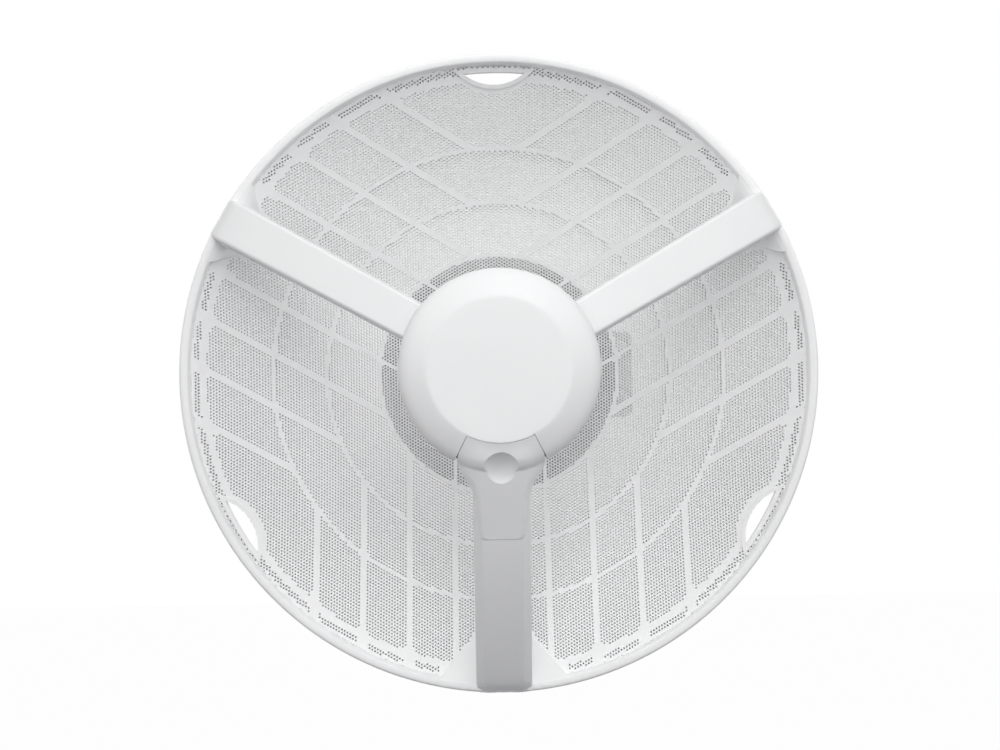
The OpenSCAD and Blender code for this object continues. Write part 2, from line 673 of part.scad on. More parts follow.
module side_arm(a) beam() rotate(a) difference() {
    arm_body(side_z0, arm_w0, arm_w1);
    arm_channel(side_z0, arm_w0, arm_w1, arm_wall, lug_x + 2);
    at_foot_screws(arm_w1) translate([0, 0, -1]) cylinder(h = 11, r = foot_screw_r);
    for (s = [-1, 1]) translate([root_screw_x, s * 6, 0]) cylinder(h = side_z0 - 8, r = root_screw_r);
}

module left_arm() color(WHITE) side_arm(arm_angles[0]);
module right_arm() color(WHITE) side_arm(arm_angles[1]);

// The lower arm leads the cable: two cheeks under the port cover, then a channel open to the back
module cable_arm() color(WHITE) beam() rotate(arm_angles[2]) difference() {
    union() {
        difference() {
            arm_body(cable_z0, cable_arm_w, cable_arm_w);
            arm_channel(cable_z0, cable_arm_w, cable_arm_w, side_wall, root_x - 1);
            translate([0, side_wall - cable_arm_w / 2, 0]) cube([port_reach - 4, cable_arm_w - 2 * side_wall, pod_front]);
            across(2 * cable_arm_w) polygon(concat(
                arm_line(root_x - 8, port_reach + gap, cable_z0, cover_seat),
                [[port_reach + gap, pod_front + 40], [root_x - 8, pod_front + 40]]));
        }
        for (s = [0, 1]) mirror([0, s, 0]) translate([0, (cable_gap + cable_arm_w) / 4, 0])
            across((cable_arm_w - cable_gap) / 2) polygon([
                [root_x, cable_z0 - arm_h], [lug_x, arm_front(lug_x, cable_z0) - arm_h],
                [lug_x, arm_front(lug_x, cable_z0) - arm_h + 6], [root_x, cable_z0 - arm_h + 6]]);
    }
    at_foot_screws(cable_arm_w) translate([0, 0, -1]) cylinder(h = 11, r = foot_screw_r);
    at_cable_lugs() cylinder(h = cable_z0, r = root_screw_r);
    translate([foot_in - 4, -cable_hole / 2, foot_z - 1]) cube([30, cable_hole, cable_hole + 1]);
    for (x = clip_x) at_clip(x) translate([-clip_w / 2, -cable_arm_w, -0.1]) cube([clip_w, 2 * cable_arm_w, 1.3]);
}

module at_cable_lugs() for (s = [-1, 1]) translate([root_screw_x, s * (cable_arm_w + cable_gap) / 4, 0]) children();

// Places on the open edge of the cable arm, with z along the arm's back
module at_clip(x) translate([x, 0, arm_front(x, cable_z0) - arm_h])
    rotate([0, -atan(arm_slope(x, cable_z0)), 0]) children();

// Straps that press into notches across the open back of the cable arm and hold the cable in
module cable_clips() color(WHITE) beam() rotate(arm_angles[2]) for (x = clip_x) at_clip(x) {
    translate([-clip_w / 2 + 0.2, -cable_arm_w / 2, -1]) cube([clip_w - 0.4, cable_arm_w, 2.2]);
    for (s = [0, 1]) mirror([0, s, 0]) translate([-clip_w / 2 + 0.2, cable_arm_w / 2 - side_wall - 2.2, 0]) cube([clip_w - 0.4, 2, 5.5]);
}

// Screws from behind the reflector into the feet of the arms
module arm_foot_screws() color(STEEL) beam() for (i = [0:2]) rotate(arm_angles[i])
    at_foot_screws(i == 2 ? cable_arm_w : arm_w1) {
        translate([0, 0, -7]) cylinder(h = 15, r = foot_screw_r - press);
        pan_head(-7, 4);
    }

// Pan head with a hexagon socket, whose seat is at z
module pan_head(z, r) difference() {
    translate([0, 0, z - 0.6 * r]) cylinder(h = 0.6 * r, r = r);
    translate([0, 0, z - 0.6 * r - 1]) cylinder(h = 1 + 0.35 * r, r = r / 2, $fn = 6);
}

// Screws from behind the pod's lugs into the roots of the arms
module arm_root_screws() color(STEEL) beam() {
    for (a = side_angles, s = [-1, 1]) rotate(a) translate([root_screw_x, s * 6, 0]) {
        translate([0, 0, housing_z]) cylinder(h = side_z0 - 10 - housing_z, r = root_screw_r - press);
        pan_head(housing_z, 3);
    }
    rotate(arm_angles[2]) at_cable_lugs() {
        translate([0, 0, housing_z]) cylinder(h = cable_z0 - arm_h - housing_z, r = root_screw_r - press);
        pan_head(housing_z, 3);
    }
}

// ---------------------------------------------------------------- radio pod

// Part of the pod's plan within an angle of the cable port
module sector(half, r0, r1, z0, z1) translate([0, 0, z0]) linear_extrude(z1 - z0) difference() {
    intersection() {
        circle(r1, $fn = 128);
        wedge(half, r1);
    }
    circle(r0, $fn = 128);
}

module at_pod_screws() for (a = pod_screw_angles) rotate(a) translate([pod_screw_r, 0, 0]) children();

// The window that the data jack looks out of
module jack_window(clear) translate([-jack_w / 2 - clear, -face_r - 3, board_z + board_t - clear])
    cube([jack_w + 2 * clear, 8, jack_h + 2 * clear]);

// Lug behind the root of an arm; its slope carries the arm
module root_lug(z0, w) across(w) polygon([
    [housing_r - 2, housing_z], [lug_x, housing_z], [lug_x, arm_front(lug_x, z0) - arm_h],
    [root_x, z0 - arm_h], [housing_r - 2, z0 - arm_h]]);

module pod_rear_housing() color(WHITE) beam() difference() {
    union() {
        difference() {
            translate([0, 0, housing_z]) cylinder(h = housing_h - seal_t, r = housing_r, $fn = 128);
            translate([0, 0, housing_z + pod_wall]) cylinder(h = housing_h, r = housing_r - pod_wall, $fn = 128);
        }
        translate([0, 0, snout_z]) cylinder(h = housing_z - snout_z + pod_wall, r = snout_r);
        at_pod_screws() translate([0, 0, housing_z]) cylinder(h = housing_h - seal_t, r = 4);
        sector(port_half + 3, face_r - pod_wall, housing_r, housing_z, seam_z - seal_t);
        for (a = side_angles) rotate(a) root_lug(side_z0, arm_w0 - 4);
        rotate(arm_angles[2]) for (s = [0, 1]) mirror([0, s, 0]) translate([0, (cable_gap + cable_arm_w) / 4, 0])
            root_lug(cable_z0, (cable_arm_w - cable_gap) / 2 - 1);
    }
    sector(port_half, face_r, housing_r - pod_wall, alcove_floor, seam_z);
    translate([-cable_gap / 2, -housing_r - 2, alcove_floor]) cube([cable_gap, 6, housing_h]);
    jack_window(gap);
    translate([0, 0, snout_z - 1]) cylinder(h = 20, r = snout_r - pod_wall);
    at_pod_screws() {
        translate([0, 0, housing_z - 1]) cylinder(h = housing_h + 2, r = pod_bolt_r + 0.2);
        translate([0, 0, housing_z - 1]) cylinder(h = 3, r = 3.2);
    }
    for (a = side_angles, s = [-1, 1]) rotate(a) translate([root_screw_x, s * 6, housing_z - 1]) cylinder(h = 20, r = root_screw_r);
    rotate(arm_angles[2]) at_cable_lugs() translate([0, 0, housing_z - 1]) cylinder(h = 30, r = root_screw_r);
    at_vent() cylinder(h = 20, r = 3.1, center = true);
}

module at_vent() rotate(45) translate([40, 0, housing_z]) children();

// Breather plug on the back of the pod
module vent_plug() color(BLACK) beam() at_vent() {
    translate([0, 0, -1.6]) cylinder(h = 1.6, r = 5);
    cylinder(h = pod_wall, r = 3.05);
}

// Outer form of the front cover, taken in by d
module cover_form(d) rotate_extrude($fn = 128) polygon(concat(
    [[0, seam_z - d], [pod_r - d, seam_z - d]],
    [for (u = [1, 0.97, 0.9, 0.78, 0.6, 0.35, 0]) [face_r + (pod_r - d - face_r) * u, pod_bevel(u) - d]],
    [[0, pod_front - d]]));

module pod_front_cover() color(WHITE) beam() difference() {
    intersection() {
        cover_form(0);
        union() {
            difference() {
                cover_form(0);
                cover_form(pod_wall);
            }
            at_pod_screws() translate([0, 0, seam_z]) cylinder(h = cover_h, r = 4);
            sector(port_half + 3, face_r - pod_wall, pod_r, seam_z, pod_front);
        }
    }
    sector(port_half, face_r, pod_r + 5, seam_z - 1, pod_front + 1);
    jack_window(gap);
    at_pod_screws() translate([0, 0, seam_z - 1]) cylinder(h = 11, r = pod_bolt_r);
}

// Plan of the sealing line, d inside the housing's edge
module seal_plan(d) difference() {
    circle(housing_r - d, $fn = 128);
    difference() {
        intersection() {
            circle(pod_r + 10, $fn = 128);
            wedge(port_half + 1.1 * d, pod_r + 10);
        }
        circle(face_r - d, $fn = 128);
    }
}

module pod_gasket() color(RUBBER) beam() difference() {
    translate([0, 0, seam_z - seal_t]) linear_extrude(seal_t) difference() {
        seal_plan(0.5);
        seal_plan(2.1);
    }
    jack_window(gap);
}

module pod_screws() color(STEEL) beam() at_pod_screws() {
    translate([0, 0, housing_z + 2]) cylinder(h = housing_h + 6, r = pod_bolt_r);
    difference() {
        translate([0, 0, housing_z + 0.2]) cylinder(h = 1.8, r = 2.9);
        translate([0, 0, housing_z]) cylinder(h = 1.4, r = 1.4, $fn = 6);
    }
}

// Plan that the board and the heat spreader share
module board_plan(r) intersection() {
    circle(r, $fn = 96);
    translate([-r, -board_chord]) square([2 * r, 2 * r]);
}

module at_board_screws() for (x = [-1, 1], y = [-1, 1]) translate([x * board_screw[0], y * board_screw[1], 0]) children();

module heat_spreader() color(ZINC) beam() difference() {
    union() {
        translate([0, 0, housing_z + pod_wall]) linear_extrude(spreader_t) board_plan(board_r);
        at_board_screws() translate([0, 0, housing_z + pod_wall]) cylinder(h = board_z - housing_z - pod_wall, r = 3);
        translate([-20, 18, housing_z + pod_wall]) cube([40, 16, board_z - housing_z - pod_wall]);
    }
    translate([0, 0, housing_z]) cylinder(h = 20, r = tube_r + gap);
    at_board_screws() translate([0, 0, board_z - 6]) cylinder(h = 7, r = board_screw_r);
    at_vent() cylinder(h = 20, r = 4);
}

module circuit_board() color(BOARD) beam() difference() {
    translate([0, 0, board_z]) linear_extrude(board_t) board_plan(board_r);
    at_board_screws() translate([0, 0, board_z - 1]) cylinder(h = 4, r = board_screw_r + 0.1);
}

module board_screws() color(STEEL) beam() at_board_screws() {
    translate([0, 0, board_z - 5]) cylinder(h = 5 + board_t, r = board_screw_r - press);
    translate([0, 0, board_z + board_t]) cylinder(h = 1.4, r = 2.5);
}

module shield_can() color(ZINC) beam() translate([-19, -8, board_z + board_t]) cube([38, 26, 4]);
module gps_patch() color(BRASS) beam() translate([-9, 24, board_z + board_t]) cube([18, 18, 4.5]);

// Circular feed with a stepped choke at its mouth; it opens towards the reflector
module feed_horn() color(ZINC) beam() difference() {
    union() {
        translate([0, 0, snout_z + 1]) cylinder(h = housing_z + pod_wall - snout_z - 1, r = snout_r - pod_wall - 0.05);
        translate([0, 0, snout_z + 1]) cylinder(h = board_z - snout_z - 1, r = tube_r);
    }
    translate([0, 0, snout_z]) cylinder(h = board_z - snout_z - 2, r = tube_r - 2);
    difference() {
        translate([0, 0, snout_z]) cylinder(h = 5, r = tube_r + 2);
        translate([0, 0, snout_z - 1]) cylinder(h = 7, r = tube_r);
    }
}

// Domed window that closes the feed
module feed_radome() color(PEARL) beam() difference() {
    rotate_extrude() polygon([
        [0, snout_z - 4.5], [8, snout_z - 4.1], [15, snout_z - 3], [19.5, snout_z - 1.4], [snout_r + 1.5, snout_z + 1],
        [snout_r + 1.5, housing_z], [snout_r + slip, housing_z], [snout_r + slip, snout_z], [0, snout_z]]);
    translate([0, 0, snout_z - 2]) cylinder(h = 3, r = snout_r - pod_wall);
}

module data_jack() color(ZINC) beam() difference() {
    translate([-jack_w / 2, jack_y, board_z + board_t]) cube([jack_w, jack_len, jack_h]);
    translate([-6, jack_y - 1, board_z + board_t + 2]) cube([12, 13, 8.2]);
    translate([-3.2, jack_y - 1, board_z + board_t + 8]) cube([6.4, 13, 4]);
}

// Rubber collar between the jack and the wall of the cable port
module jack_seal() color(RUBBER) beam() difference() {
    translate([-jack_w / 2 - 2, -face_r - 1.6, board_z + board_t - 2]) cube([jack_w + 4, 1.5, jack_h + 4]);
    jack_window(0);
}

// Plan of the tongue: as wide as the port at the top, then curving in to the width of the arm
module tongue_plan() {
    half = cable_arm_w / 2;
    flare = pod_r * sin(port_half - 0.4);
    top = pod_r * cos(port_half - 0.4) - 1;
    neck = root_x + 12;
    polygon(concat(
        [for (i = [0:4]) let (t = i / 4) [top + t * (neck - top), flare - (flare - half) * (1 - pow(1 - t, 2))]],
        [[port_reach - 14, half], [port_reach - 10, half - 2.5], [port_reach - 3, half - 2.5], [port_reach, half - 5.5]],
        [[port_reach, 5.5 - half], [port_reach - 3, 2.5 - half], [port_reach - 10, 2.5 - half], [port_reach - 14, -half]],
        [for (i = [4:-1:0]) let (t = i / 4) [top + t * (neck - top), (flare - half) * (1 - pow(1 - t, 2)) - flare]]));
}

// Side profile of a strip along the front of the cable arm, from x = start and d deep
module tongue_side(start, d) across(3 * cable_arm_w) polygon(concat(
    arm_line(start, port_reach, cable_z0, tongue_drop - cover_t),
    reversed(arm_line(start, port_reach, cable_z0, tongue_drop - cover_t + d))));

// Snap-on cover over the cable port: a sector of the pod's shoulder with a tongue down the cable arm
module port_cover() color(WHITE) beam() difference() {
    union() {
        intersection() {
            rotate_extrude($fn = 128) polygon(concat(
                [for (u = [0.02, 0.35, 0.6, 0.78, 0.9, 0.97, 1]) [face_r + (pod_r - face_r) * u, pod_bevel(u)]],
                [[pod_r, seam_z + gap], [pod_r - 1.7, seam_z + gap]],
                [for (u = [1, 0.9, 0.78, 0.6, 0.35, 0.02]) [face_r + (pod_r - 1.7 - face_r) * u, pod_bevel(u) - cover_t]]));
            sector(port_half - 0.4, port_r, pod_r + 1, seam_z, pod_front + 1);
        }
        rotate(arm_angles[2]) {
            intersection() {
                tongue_side(pod_r - 9, cover_t);
                linear_extrude(pod_front + 10) tongue_plan();
            }
            intersection() {
                tongue_side(lug_x + 4, cover_t + 4);
                linear_extrude(pod_front + 10) for (s = [-1, 1])
                    translate([lug_x + 4, s * (cable_arm_w / 2 - side_wall - gap - 1) - 1]) square([port_reach - 6 - lug_x - 4, 2]);
            }
            translate([dimple_x, 0, dimple_z - 5]) cylinder(h = 4, r = 9);
        }
    }
    rotate(arm_angles[2]) {
        translate([dimple_x, 0, dimple_z + 11.6]) sphere(r = 14);
        translate([root_x - 2, -cable_arm_w / 2 - gap, 0]) cube([4, cable_arm_w + 2 * gap, cable_z0 - cover_seat + gap]);
    }
}

pole_bracket();
azimuth_bushes();
clamp_bolts();
ground_screw();
clamp_jaw();
clamp_washers();
clamp_nuts();
azimuth_screw();
azimuth_knob();
azimuth_barrel();
azimuth_yoke();
azimuth_pivot_bolt();
azimuth_pivot_nut();
azimuth_washers();
elevation_pivot_bolts();
elevation_pivot_nuts();
elevation_lock_bolts();
elevation_lock_nuts();
elevation_screw();
elevation_knob();
elevation_barrel();
tilt_bracket();
tilt_bracket_screws();
back_plate();
back_plate_screws();
reflector();
left_arm();
right_arm();
cable_arm();
arm_foot_screws();
arm_root_screws();
cable_clips();
pod_rear_housing();
pod_front_cover();
pod_gasket();
pod_screws();
vent_plug();
heat_spreader();
circuit_board();
shield_can();
gps_patch();
board_screws();
feed_horn();
feed_radome();
data_jack();
jack_seal();
port_cover();
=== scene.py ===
import json
import math

import bpy
import numpy as np
from mathutils import Matrix, Vector


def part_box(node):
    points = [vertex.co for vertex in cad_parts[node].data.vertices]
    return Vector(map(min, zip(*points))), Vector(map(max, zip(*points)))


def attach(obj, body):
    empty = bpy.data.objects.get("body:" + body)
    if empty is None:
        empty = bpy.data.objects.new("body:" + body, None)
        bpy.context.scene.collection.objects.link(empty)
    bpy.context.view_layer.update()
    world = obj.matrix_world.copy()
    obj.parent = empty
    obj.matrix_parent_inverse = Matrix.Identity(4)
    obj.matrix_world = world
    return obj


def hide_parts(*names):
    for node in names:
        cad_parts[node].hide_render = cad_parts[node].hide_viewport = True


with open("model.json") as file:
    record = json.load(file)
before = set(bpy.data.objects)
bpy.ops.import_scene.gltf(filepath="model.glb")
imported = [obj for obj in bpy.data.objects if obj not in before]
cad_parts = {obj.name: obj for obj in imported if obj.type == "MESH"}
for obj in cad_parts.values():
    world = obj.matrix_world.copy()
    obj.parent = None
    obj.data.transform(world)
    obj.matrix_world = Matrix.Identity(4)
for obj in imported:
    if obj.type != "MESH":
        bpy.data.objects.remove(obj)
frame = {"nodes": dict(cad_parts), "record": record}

bpy.ops.object.select_all(action="DESELECT")
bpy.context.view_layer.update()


# ---------------------------------------------------------------- reflector sheet
# A thin moulded bowl, metallised and painted off-white. It is perforated with small hexagonal holes
# in upright rows, and whole holes are left out along the ribs, the rings and the border.

rim_low, rim_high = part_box("reflector")
rim_radius = (rim_high.x - rim_low.x) / 2
beam_x = (rim_high.x + rim_low.x) / 2
focal = 0.135
rim_lip = 0.004
skin_radius = rim_radius - 0.0085
arm_angles = [150, 30, 270]
grip_angles = [90, 210, 330]
ring_radii = [0.0805, 0.1151, 0.1497]
rib_offsets = [0.0305, 0.0610, 0.0915, 0.1220]
rib_starts = [0.050, *ring_radii]
arm_sector = 0.499        # a point belongs to an arm within about 60 degrees of it: the cosine, less a little
hole_pitch = 0.00205
hole_wall = 0.00041       # half of the wall between two holes
sheet_t = 0.0026
panel_edge = 0.1906       # the panels of holes end at this radius
dash_inner, dash_outer = 0.1950, 0.1983     # short rows of holes beside the rim


def bowl(r):
    """Height of the paraboloid above its vertex, along the beam."""
    return r * r / (4 * focal)


rim_z = bowl(rim_radius) + rim_lip
vertex_y = rim_low.y + rim_z
beam = Matrix.Translation((beam_x, vertex_y, 0)) @ Matrix.Rotation(math.radians(90), 4, "X")


class Field:
    """A value that runs over a surface: one shader socket that adds its own Math nodes."""

    def __init__(self, tree, socket):
        self.tree, self.socket = tree, socket

    def node(self, kind, settings=None, values=None, output=0):
        """Adds a node of that kind, sets its settings and its sockets, and returns one of its outputs."""
        new = self.tree.nodes.new(kind)
        for key, value in (settings or {}).items():
            setattr(new, key, value)
        for key, value in (values or {}).items():
            if isinstance(value, Field):
                self.tree.links.new(value.socket, new.inputs[key])
            else:
                new.inputs[key].default_value = value
        return Field(self.tree, new.outputs[output])

    def math(self, operation, *values):
        return self.node("ShaderNodeMath", {"operation": operation}, dict(enumerate(values)))

    def __add__(self, other):
        return self.math("ADD", self, other)

    def __mul__(self, other):
        return self.math("MULTIPLY", self, other)

    def __gt__(self, other):
        return self.math("GREATER_THAN", self, other)


def noise(place, scale, detail=3.0, rough=0.55):
    """Cloudy noise of one size, 0 to 1; scale is in lumps per metre."""
    return place.node("ShaderNodeTexNoise", None,
                      {"Vector": place, "Scale": scale, "Detail": detail, "Roughness": rough})


mix_low, mix_high, mix_result = 6, 7, 2       # the colour sockets of a Mix node


def colour_between(mask, low, high):
    """Colour that runs from low to high, each a colour or a field of colour, as the mask runs from 0 to 1."""
    low, high = (end if isinstance(end, Field) else (*end, 1) for end in (low, high))
    ends = {"Factor": mask, mix_low: low, mix_high: high}
    return mask.node("ShaderNodeMix", {"data_type": "RGBA"}, ends, mix_result)


def spread(field, low, high):
    """The field's 0 to 1 stretched to run from low to high."""
    return field.node("ShaderNodeMapRange", None, {"Value": field, "To Min": low, "To Max": high})


def finish_of(name, constants, varying):
    """A Principled material: constants go on its sockets, varying(place) returns what changes over the surface.
    The key Height makes a bump, as a pair of a field and its depth in metres."""
    material = bpy.data.materials.new(name)
    material.use_nodes = True
    tree = material.node_tree
    shader = tree.nodes["Principled BSDF"]
    for key, value in constants.items():
        shader.inputs[key].default_value = value
    place = Field(tree, tree.nodes.new("ShaderNodeTexCoord").outputs["Object"])
    for key, value in varying(place).items():
        if key == "Height":
            height, depth = value
            value = place.node("ShaderNodeBump", None, {"Height": height, "Distance": depth, "Strength": 1.0})
            key = "Normal"
        tree.links.new(value.socket, shader.inputs[key])
    return material


def sheet_paint(place):
    """Even satin paint: a faint cloudy tone, a fine orange peel, a trace of dust that dulls it."""
    tone = noise(place, 14, 4)
    peel = noise(place, 1400, 2)
    return {
        "Base Color": colour_between(tone, (0.905, 0.908, 0.911), (0.935, 0.937, 0.940)),
        "Roughness": spread(noise(place, 60, 4), 0.42, 0.56),
        "Height": (peel, 0.00004),
    }


sheet_white = finish_of("sheet white", {"Specular IOR Level": 0.28}, sheet_paint)


def seated(piece, material, slot, *nodes, body="dish"):
    """Puts a finished piece in its place on the beam, gives it its finish, and makes it ride on its body."""
    piece.data.transform(beam)
    piece.data.materials.clear()
    piece.data.materials.append(material)
    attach(piece, body)
    if nodes:
        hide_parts(*nodes)
    return piece


def smooth(low, high, x):
    """0 below low, 1 above high, and a smooth ramp between them."""
    t = np.clip((x - low) / (high - low), 0, 1)
    return t * t * (3 - 2 * t)


def rounded_min(a, b, radius):
    """The smaller of two distances, with the corner between them rounded."""
    h = np.clip(0.5 + 0.5 * (b - a) / radius, 0, 1)
    return b * (1 - h) + a * h - radius * h * (1 - h)


def turned_to(angle, x, y):
    """Coordinates along and across a line from the centre at that angle."""
    c, s = math.cos(math.radians(angle)), math.sin(math.radians(angle))
    return x * c + y * s, y * c - x * s


grip_outer = skin_radius - 0.002
grip_width = 0.0080
grip_curve = 0.0335
lens_centre = grip_outer - grip_width + grip_curve
foot_half = {150: 0.0155, 30: 0.0155, 270: 0.0175}          # half width of each arm's foot
shoulder_from = {150: 0.1850, 30: 0.1850, 270: 0.1680}      # radius at which its shoulders start
shoulder_reach = {150: 0.0130, 30: 0.0130, 270: 0.0235}     # how far they reach beside the foot


def grip_distance(x, y):
    """Distance outside the nearest grip opening, negative inside it."""
    best = np.full_like(x, 1.0)
    for angle in grip_angles:
        u, v = turned_to(angle, x, y)
        outer = np.hypot(u, v) - grip_outer
        inner = np.hypot(u - lens_centre, v) - grip_curve
        best = np.minimum(best, np.maximum(outer, inner))
    return best


def panel_distance(x, y):
    """How far inside a panel of holes a point lies, between the blank bands of ribs, rings, grips and shoulders."""
    r = np.hypot(x, y)
    band_half = 0.0013 + 0.0008 * smooth(0.06, 0.19, r)
    inside = panel_edge - r
    for angle in arm_angles:
        u, v = turned_to(angle, x, y)
        for offset, start in zip(rib_offsets, rib_starts):
            from_rib = np.abs(np.abs(v) - offset) - band_half
            inside = rounded_min(inside, np.where((u > arm_sector * r) & (r > start - 0.001), from_rib, 1.0), 0.0040)
    for ring in ring_radii:
        inside = rounded_min(inside, np.abs(r - ring) - 0.0011, 0.002)
    inside = np.minimum(inside, grip_distance(x, y) - 0.0055)
    for angle in arm_angles:
        u, v = turned_to(angle, x, y)
        inside = np.minimum(inside, shoulder_distance(u, np.abs(v), angle))
    return inside


def dash_distance(x, y):
    """How far inside one of the short rows of holes beside the rim a point lies. They stop at each rib and foot,
    and go on between the rim and a grip opening."""
    r = np.hypot(x, y)
    inside = np.minimum(r - dash_inner, dash_outer - r)
    for angle in arm_angles:
        u, v = turned_to(angle, x, y)
        for offset in rib_offsets:
            inside = np.minimum(inside, np.where(u > arm_sector * r, np.abs(np.abs(v) - offset) - 0.0030, 1.0))
        beside_foot = np.abs(v) - foot_half[angle] - shoulder_reach[angle] - 0.001
        inside = np.minimum(inside, np.where(u > 0, beside_foot, 1.0))
    from_grip = grip_distance(x, y)
    inside = np.where(from_grip < 0.008, np.minimum(from_grip - 0.0026, 0.2002 - r), inside)
    return np.minimum(inside, r - dash_inner)


def shoulder_distance(u, v, angle):
    """Distance outside the moulded shoulder beside an arm's foot, in the arm's own coordinates."""
    first = shoulder_from[angle]
    reach = foot_half[angle] + shoulder_reach[angle] * smooth(first - 0.002, 0.199, u) + 0.001
    return np.where(u > first - 0.004, v - reach, 1.0)


def alone(piece):
    """Makes a piece the only selected object and the active one."""
    bpy.ops.object.select_all(action="DESELECT")
    piece.select_set(True)
    bpy.context.view_layer.objects.active = piece


def opened(piece):
    """Opens one piece alone in edit mode."""
    alone(piece)
    bpy.ops.object.mode_set(mode="EDIT")


def modified(piece, kind, **settings):
    """Adds a modifier to the active piece, sets it and applies it."""
    bpy.ops.object.modifier_add(type=kind)
    modifier = piece.modifiers[-1]
    for key, value in settings.items():
        setattr(modifier, key, value)
    bpy.ops.object.modifier_apply(modifier=modifier.name)


def select_faces(mesh, mask):
    """Selects the faces of the mask, ready for edit mode."""
    mesh.vertices.foreach_set("select", np.zeros(len(mesh.vertices), bool))
    mesh.edges.foreach_set("select", np.zeros(len(mesh.edges), bool))
    mesh.polygons.foreach_set("select", mask)


def coordinates(mesh):
    """The vertices of a mesh as rows of x, y and z."""
    points = np.empty(len(mesh.vertices) * 3)
    mesh.vertices.foreach_get("co", points)
    return points.reshape(-1, 3)


def move_vertices(mesh, points):
    """Puts the vertices of a mesh at those rows of x, y and z."""
    mesh.vertices.foreach_set("co", points.ravel())
    mesh.update()


column_pitch = hole_pitch * math.sqrt(3)      # two columns of cells, half a step apart, repeat at this distance
bpy.ops.mesh.primitive_circle_add(vertices=6, radius=hole_pitch / math.sqrt(3), fill_type="NGON",
                                  rotation=(0, 0, math.radians(30)))
bpy.ops.object.transform_apply(rotation=True)
lattice = bpy.context.object
bpy.ops.object.mode_set(mode="EDIT")
bpy.ops.mesh.select_all(action="SELECT")
bpy.ops.mesh.inset(thickness=hole_wall)
bpy.ops.mesh.select_all(action="SELECT")
bpy.ops.mesh.duplicate()
bpy.ops.transform.translate(value=(column_pitch / 2, hole_pitch / 2, 0))
bpy.ops.object.mode_set(mode="OBJECT")
steps_up = 2 * int(rim_radius / hole_pitch) + 2
steps_across = 2 * int(rim_radius / column_pitch) + 2
for count, step in ((steps_up, (0, hole_pitch, 0)), (steps_across, (column_pitch, 0, 0))):
    modified(lattice, "ARRAY", count=count, use_relative_offset=False, use_constant_offset=True,
             constant_offset_displace=step)
mesh = lattice.data
corner = np.array([-(steps_across - 1) * hole_pitch * math.sqrt(3) / 2, -(steps_up - 1) * hole_pitch / 2, 0])
move_vertices(mesh, coordinates(mesh) + corner)

# A cell is a hexagon and the six faces round it. The hexagon goes where the sheet has a hole, and the whole cell
# goes where it lies outside the sheet.
faces_per_cell = 7
centres = np.empty(len(mesh.polygons) * 3)
mesh.polygons.foreach_get("center", centres)
sides = np.empty(len(mesh.polygons), int)
mesh.polygons.foreach_get("loop_total", sides)
middle = sides == 6
cell_x = np.repeat(centres.reshape(-1, 3)[middle, 0], faces_per_cell)
cell_y = np.repeat(centres.reshape(-1, 3)[middle, 1], faces_per_cell)
outside = (np.hypot(cell_x, cell_y) > skin_radius + 0.0026) | (grip_distance(cell_x, cell_y) < 0.0013)
for angle in arm_angles:
    u, v = turned_to(angle, cell_x, cell_y)
    outside |= (u > rim_radius - 0.0135) & (np.abs(v) < foot_half[angle] - 0.0012)
punched = middle & (np.maximum(panel_distance(cell_x, cell_y), dash_distance(cell_x, cell_y)) > 0)
kept = ~(outside | punched)
bpy.context.tool_settings.mesh_select_mode = (False, False, True)
select_faces(mesh, ~kept)
bpy.ops.object.mode_set(mode="EDIT")
bpy.ops.mesh.delete(type="FACE")
bpy.ops.object.mode_set(mode="OBJECT")
points = coordinates(mesh)
points[:, 2] = bowl(np.hypot(points[:, 0], points[:, 1]))
move_vertices(mesh, points)

# The sheet is split into nine sectors, which keeps each piece's mesh small.
sector_angle = 40
sector_of = (np.degrees(np.arctan2(cell_y, cell_x)) % 360 // sector_angle).astype(int)[kept]
for sector in range(360 // sector_angle - 1):
    select_faces(lattice.data, sector_of == sector)
    bpy.ops.object.mode_set(mode="EDIT")
    bpy.ops.mesh.separate(type="SELECTED")
    bpy.ops.object.mode_set(mode="OBJECT")
    sector_of = sector_of[sector_of != sector]
panels = [piece for piece in bpy.context.selected_objects if piece.type == "MESH"]
for number, panel in enumerate(sorted(panels, key=lambda piece: piece.name)):
    opened(panel)
    bpy.ops.mesh.select_all(action="SELECT")
    bpy.ops.mesh.remove_doubles(threshold=hole_pitch * 0.04)
    bpy.ops.object.mode_set(mode="OBJECT")
    modified(panel, "SOLIDIFY", thickness=sheet_t, offset=-1)
    panel.name = f"reflector_panel_{number + 1}"
    seated(panel, sheet_white, "reflector_white", "reflector")


# ---------------------------------------------------------------- reflector rim, lips and ribs
# The same moulding goes on as a hollow rolled rim, whose inner wall stands behind the last row of holes.
# Ribs stiffen the back along the blank bands, and a raised lip runs round each grip opening.

rib_half = 0.0011         # half of a rib's thickness
rib_depth = 0.006         # behind the sheet
rim_foot = 0.2002         # the rim leaves the bowl at this radius
merge_distance = 0.000001


def traced(points):
    """Starts a piece as one line of edges through the points, left in edit mode with all of it selected."""
    bpy.ops.object.select_all(action="DESELECT")
    bpy.ops.mesh.primitive_plane_add(size=0.01)
    bpy.ops.object.mode_set(mode="EDIT")
    bpy.context.tool_settings.mesh_select_mode = (True, False, False)
    bpy.ops.mesh.merge(type="CENTER")
    bpy.ops.transform.translate(value=points[0])
    for here, there in zip(points, points[1:]):
        bpy.ops.mesh.extrude_region_move(TRANSFORM_OT_translate={"value": Vector(there) - Vector(here)})
    bpy.ops.mesh.select_all(action="SELECT")
    bpy.ops.mesh.remove_doubles(threshold=merge_distance)


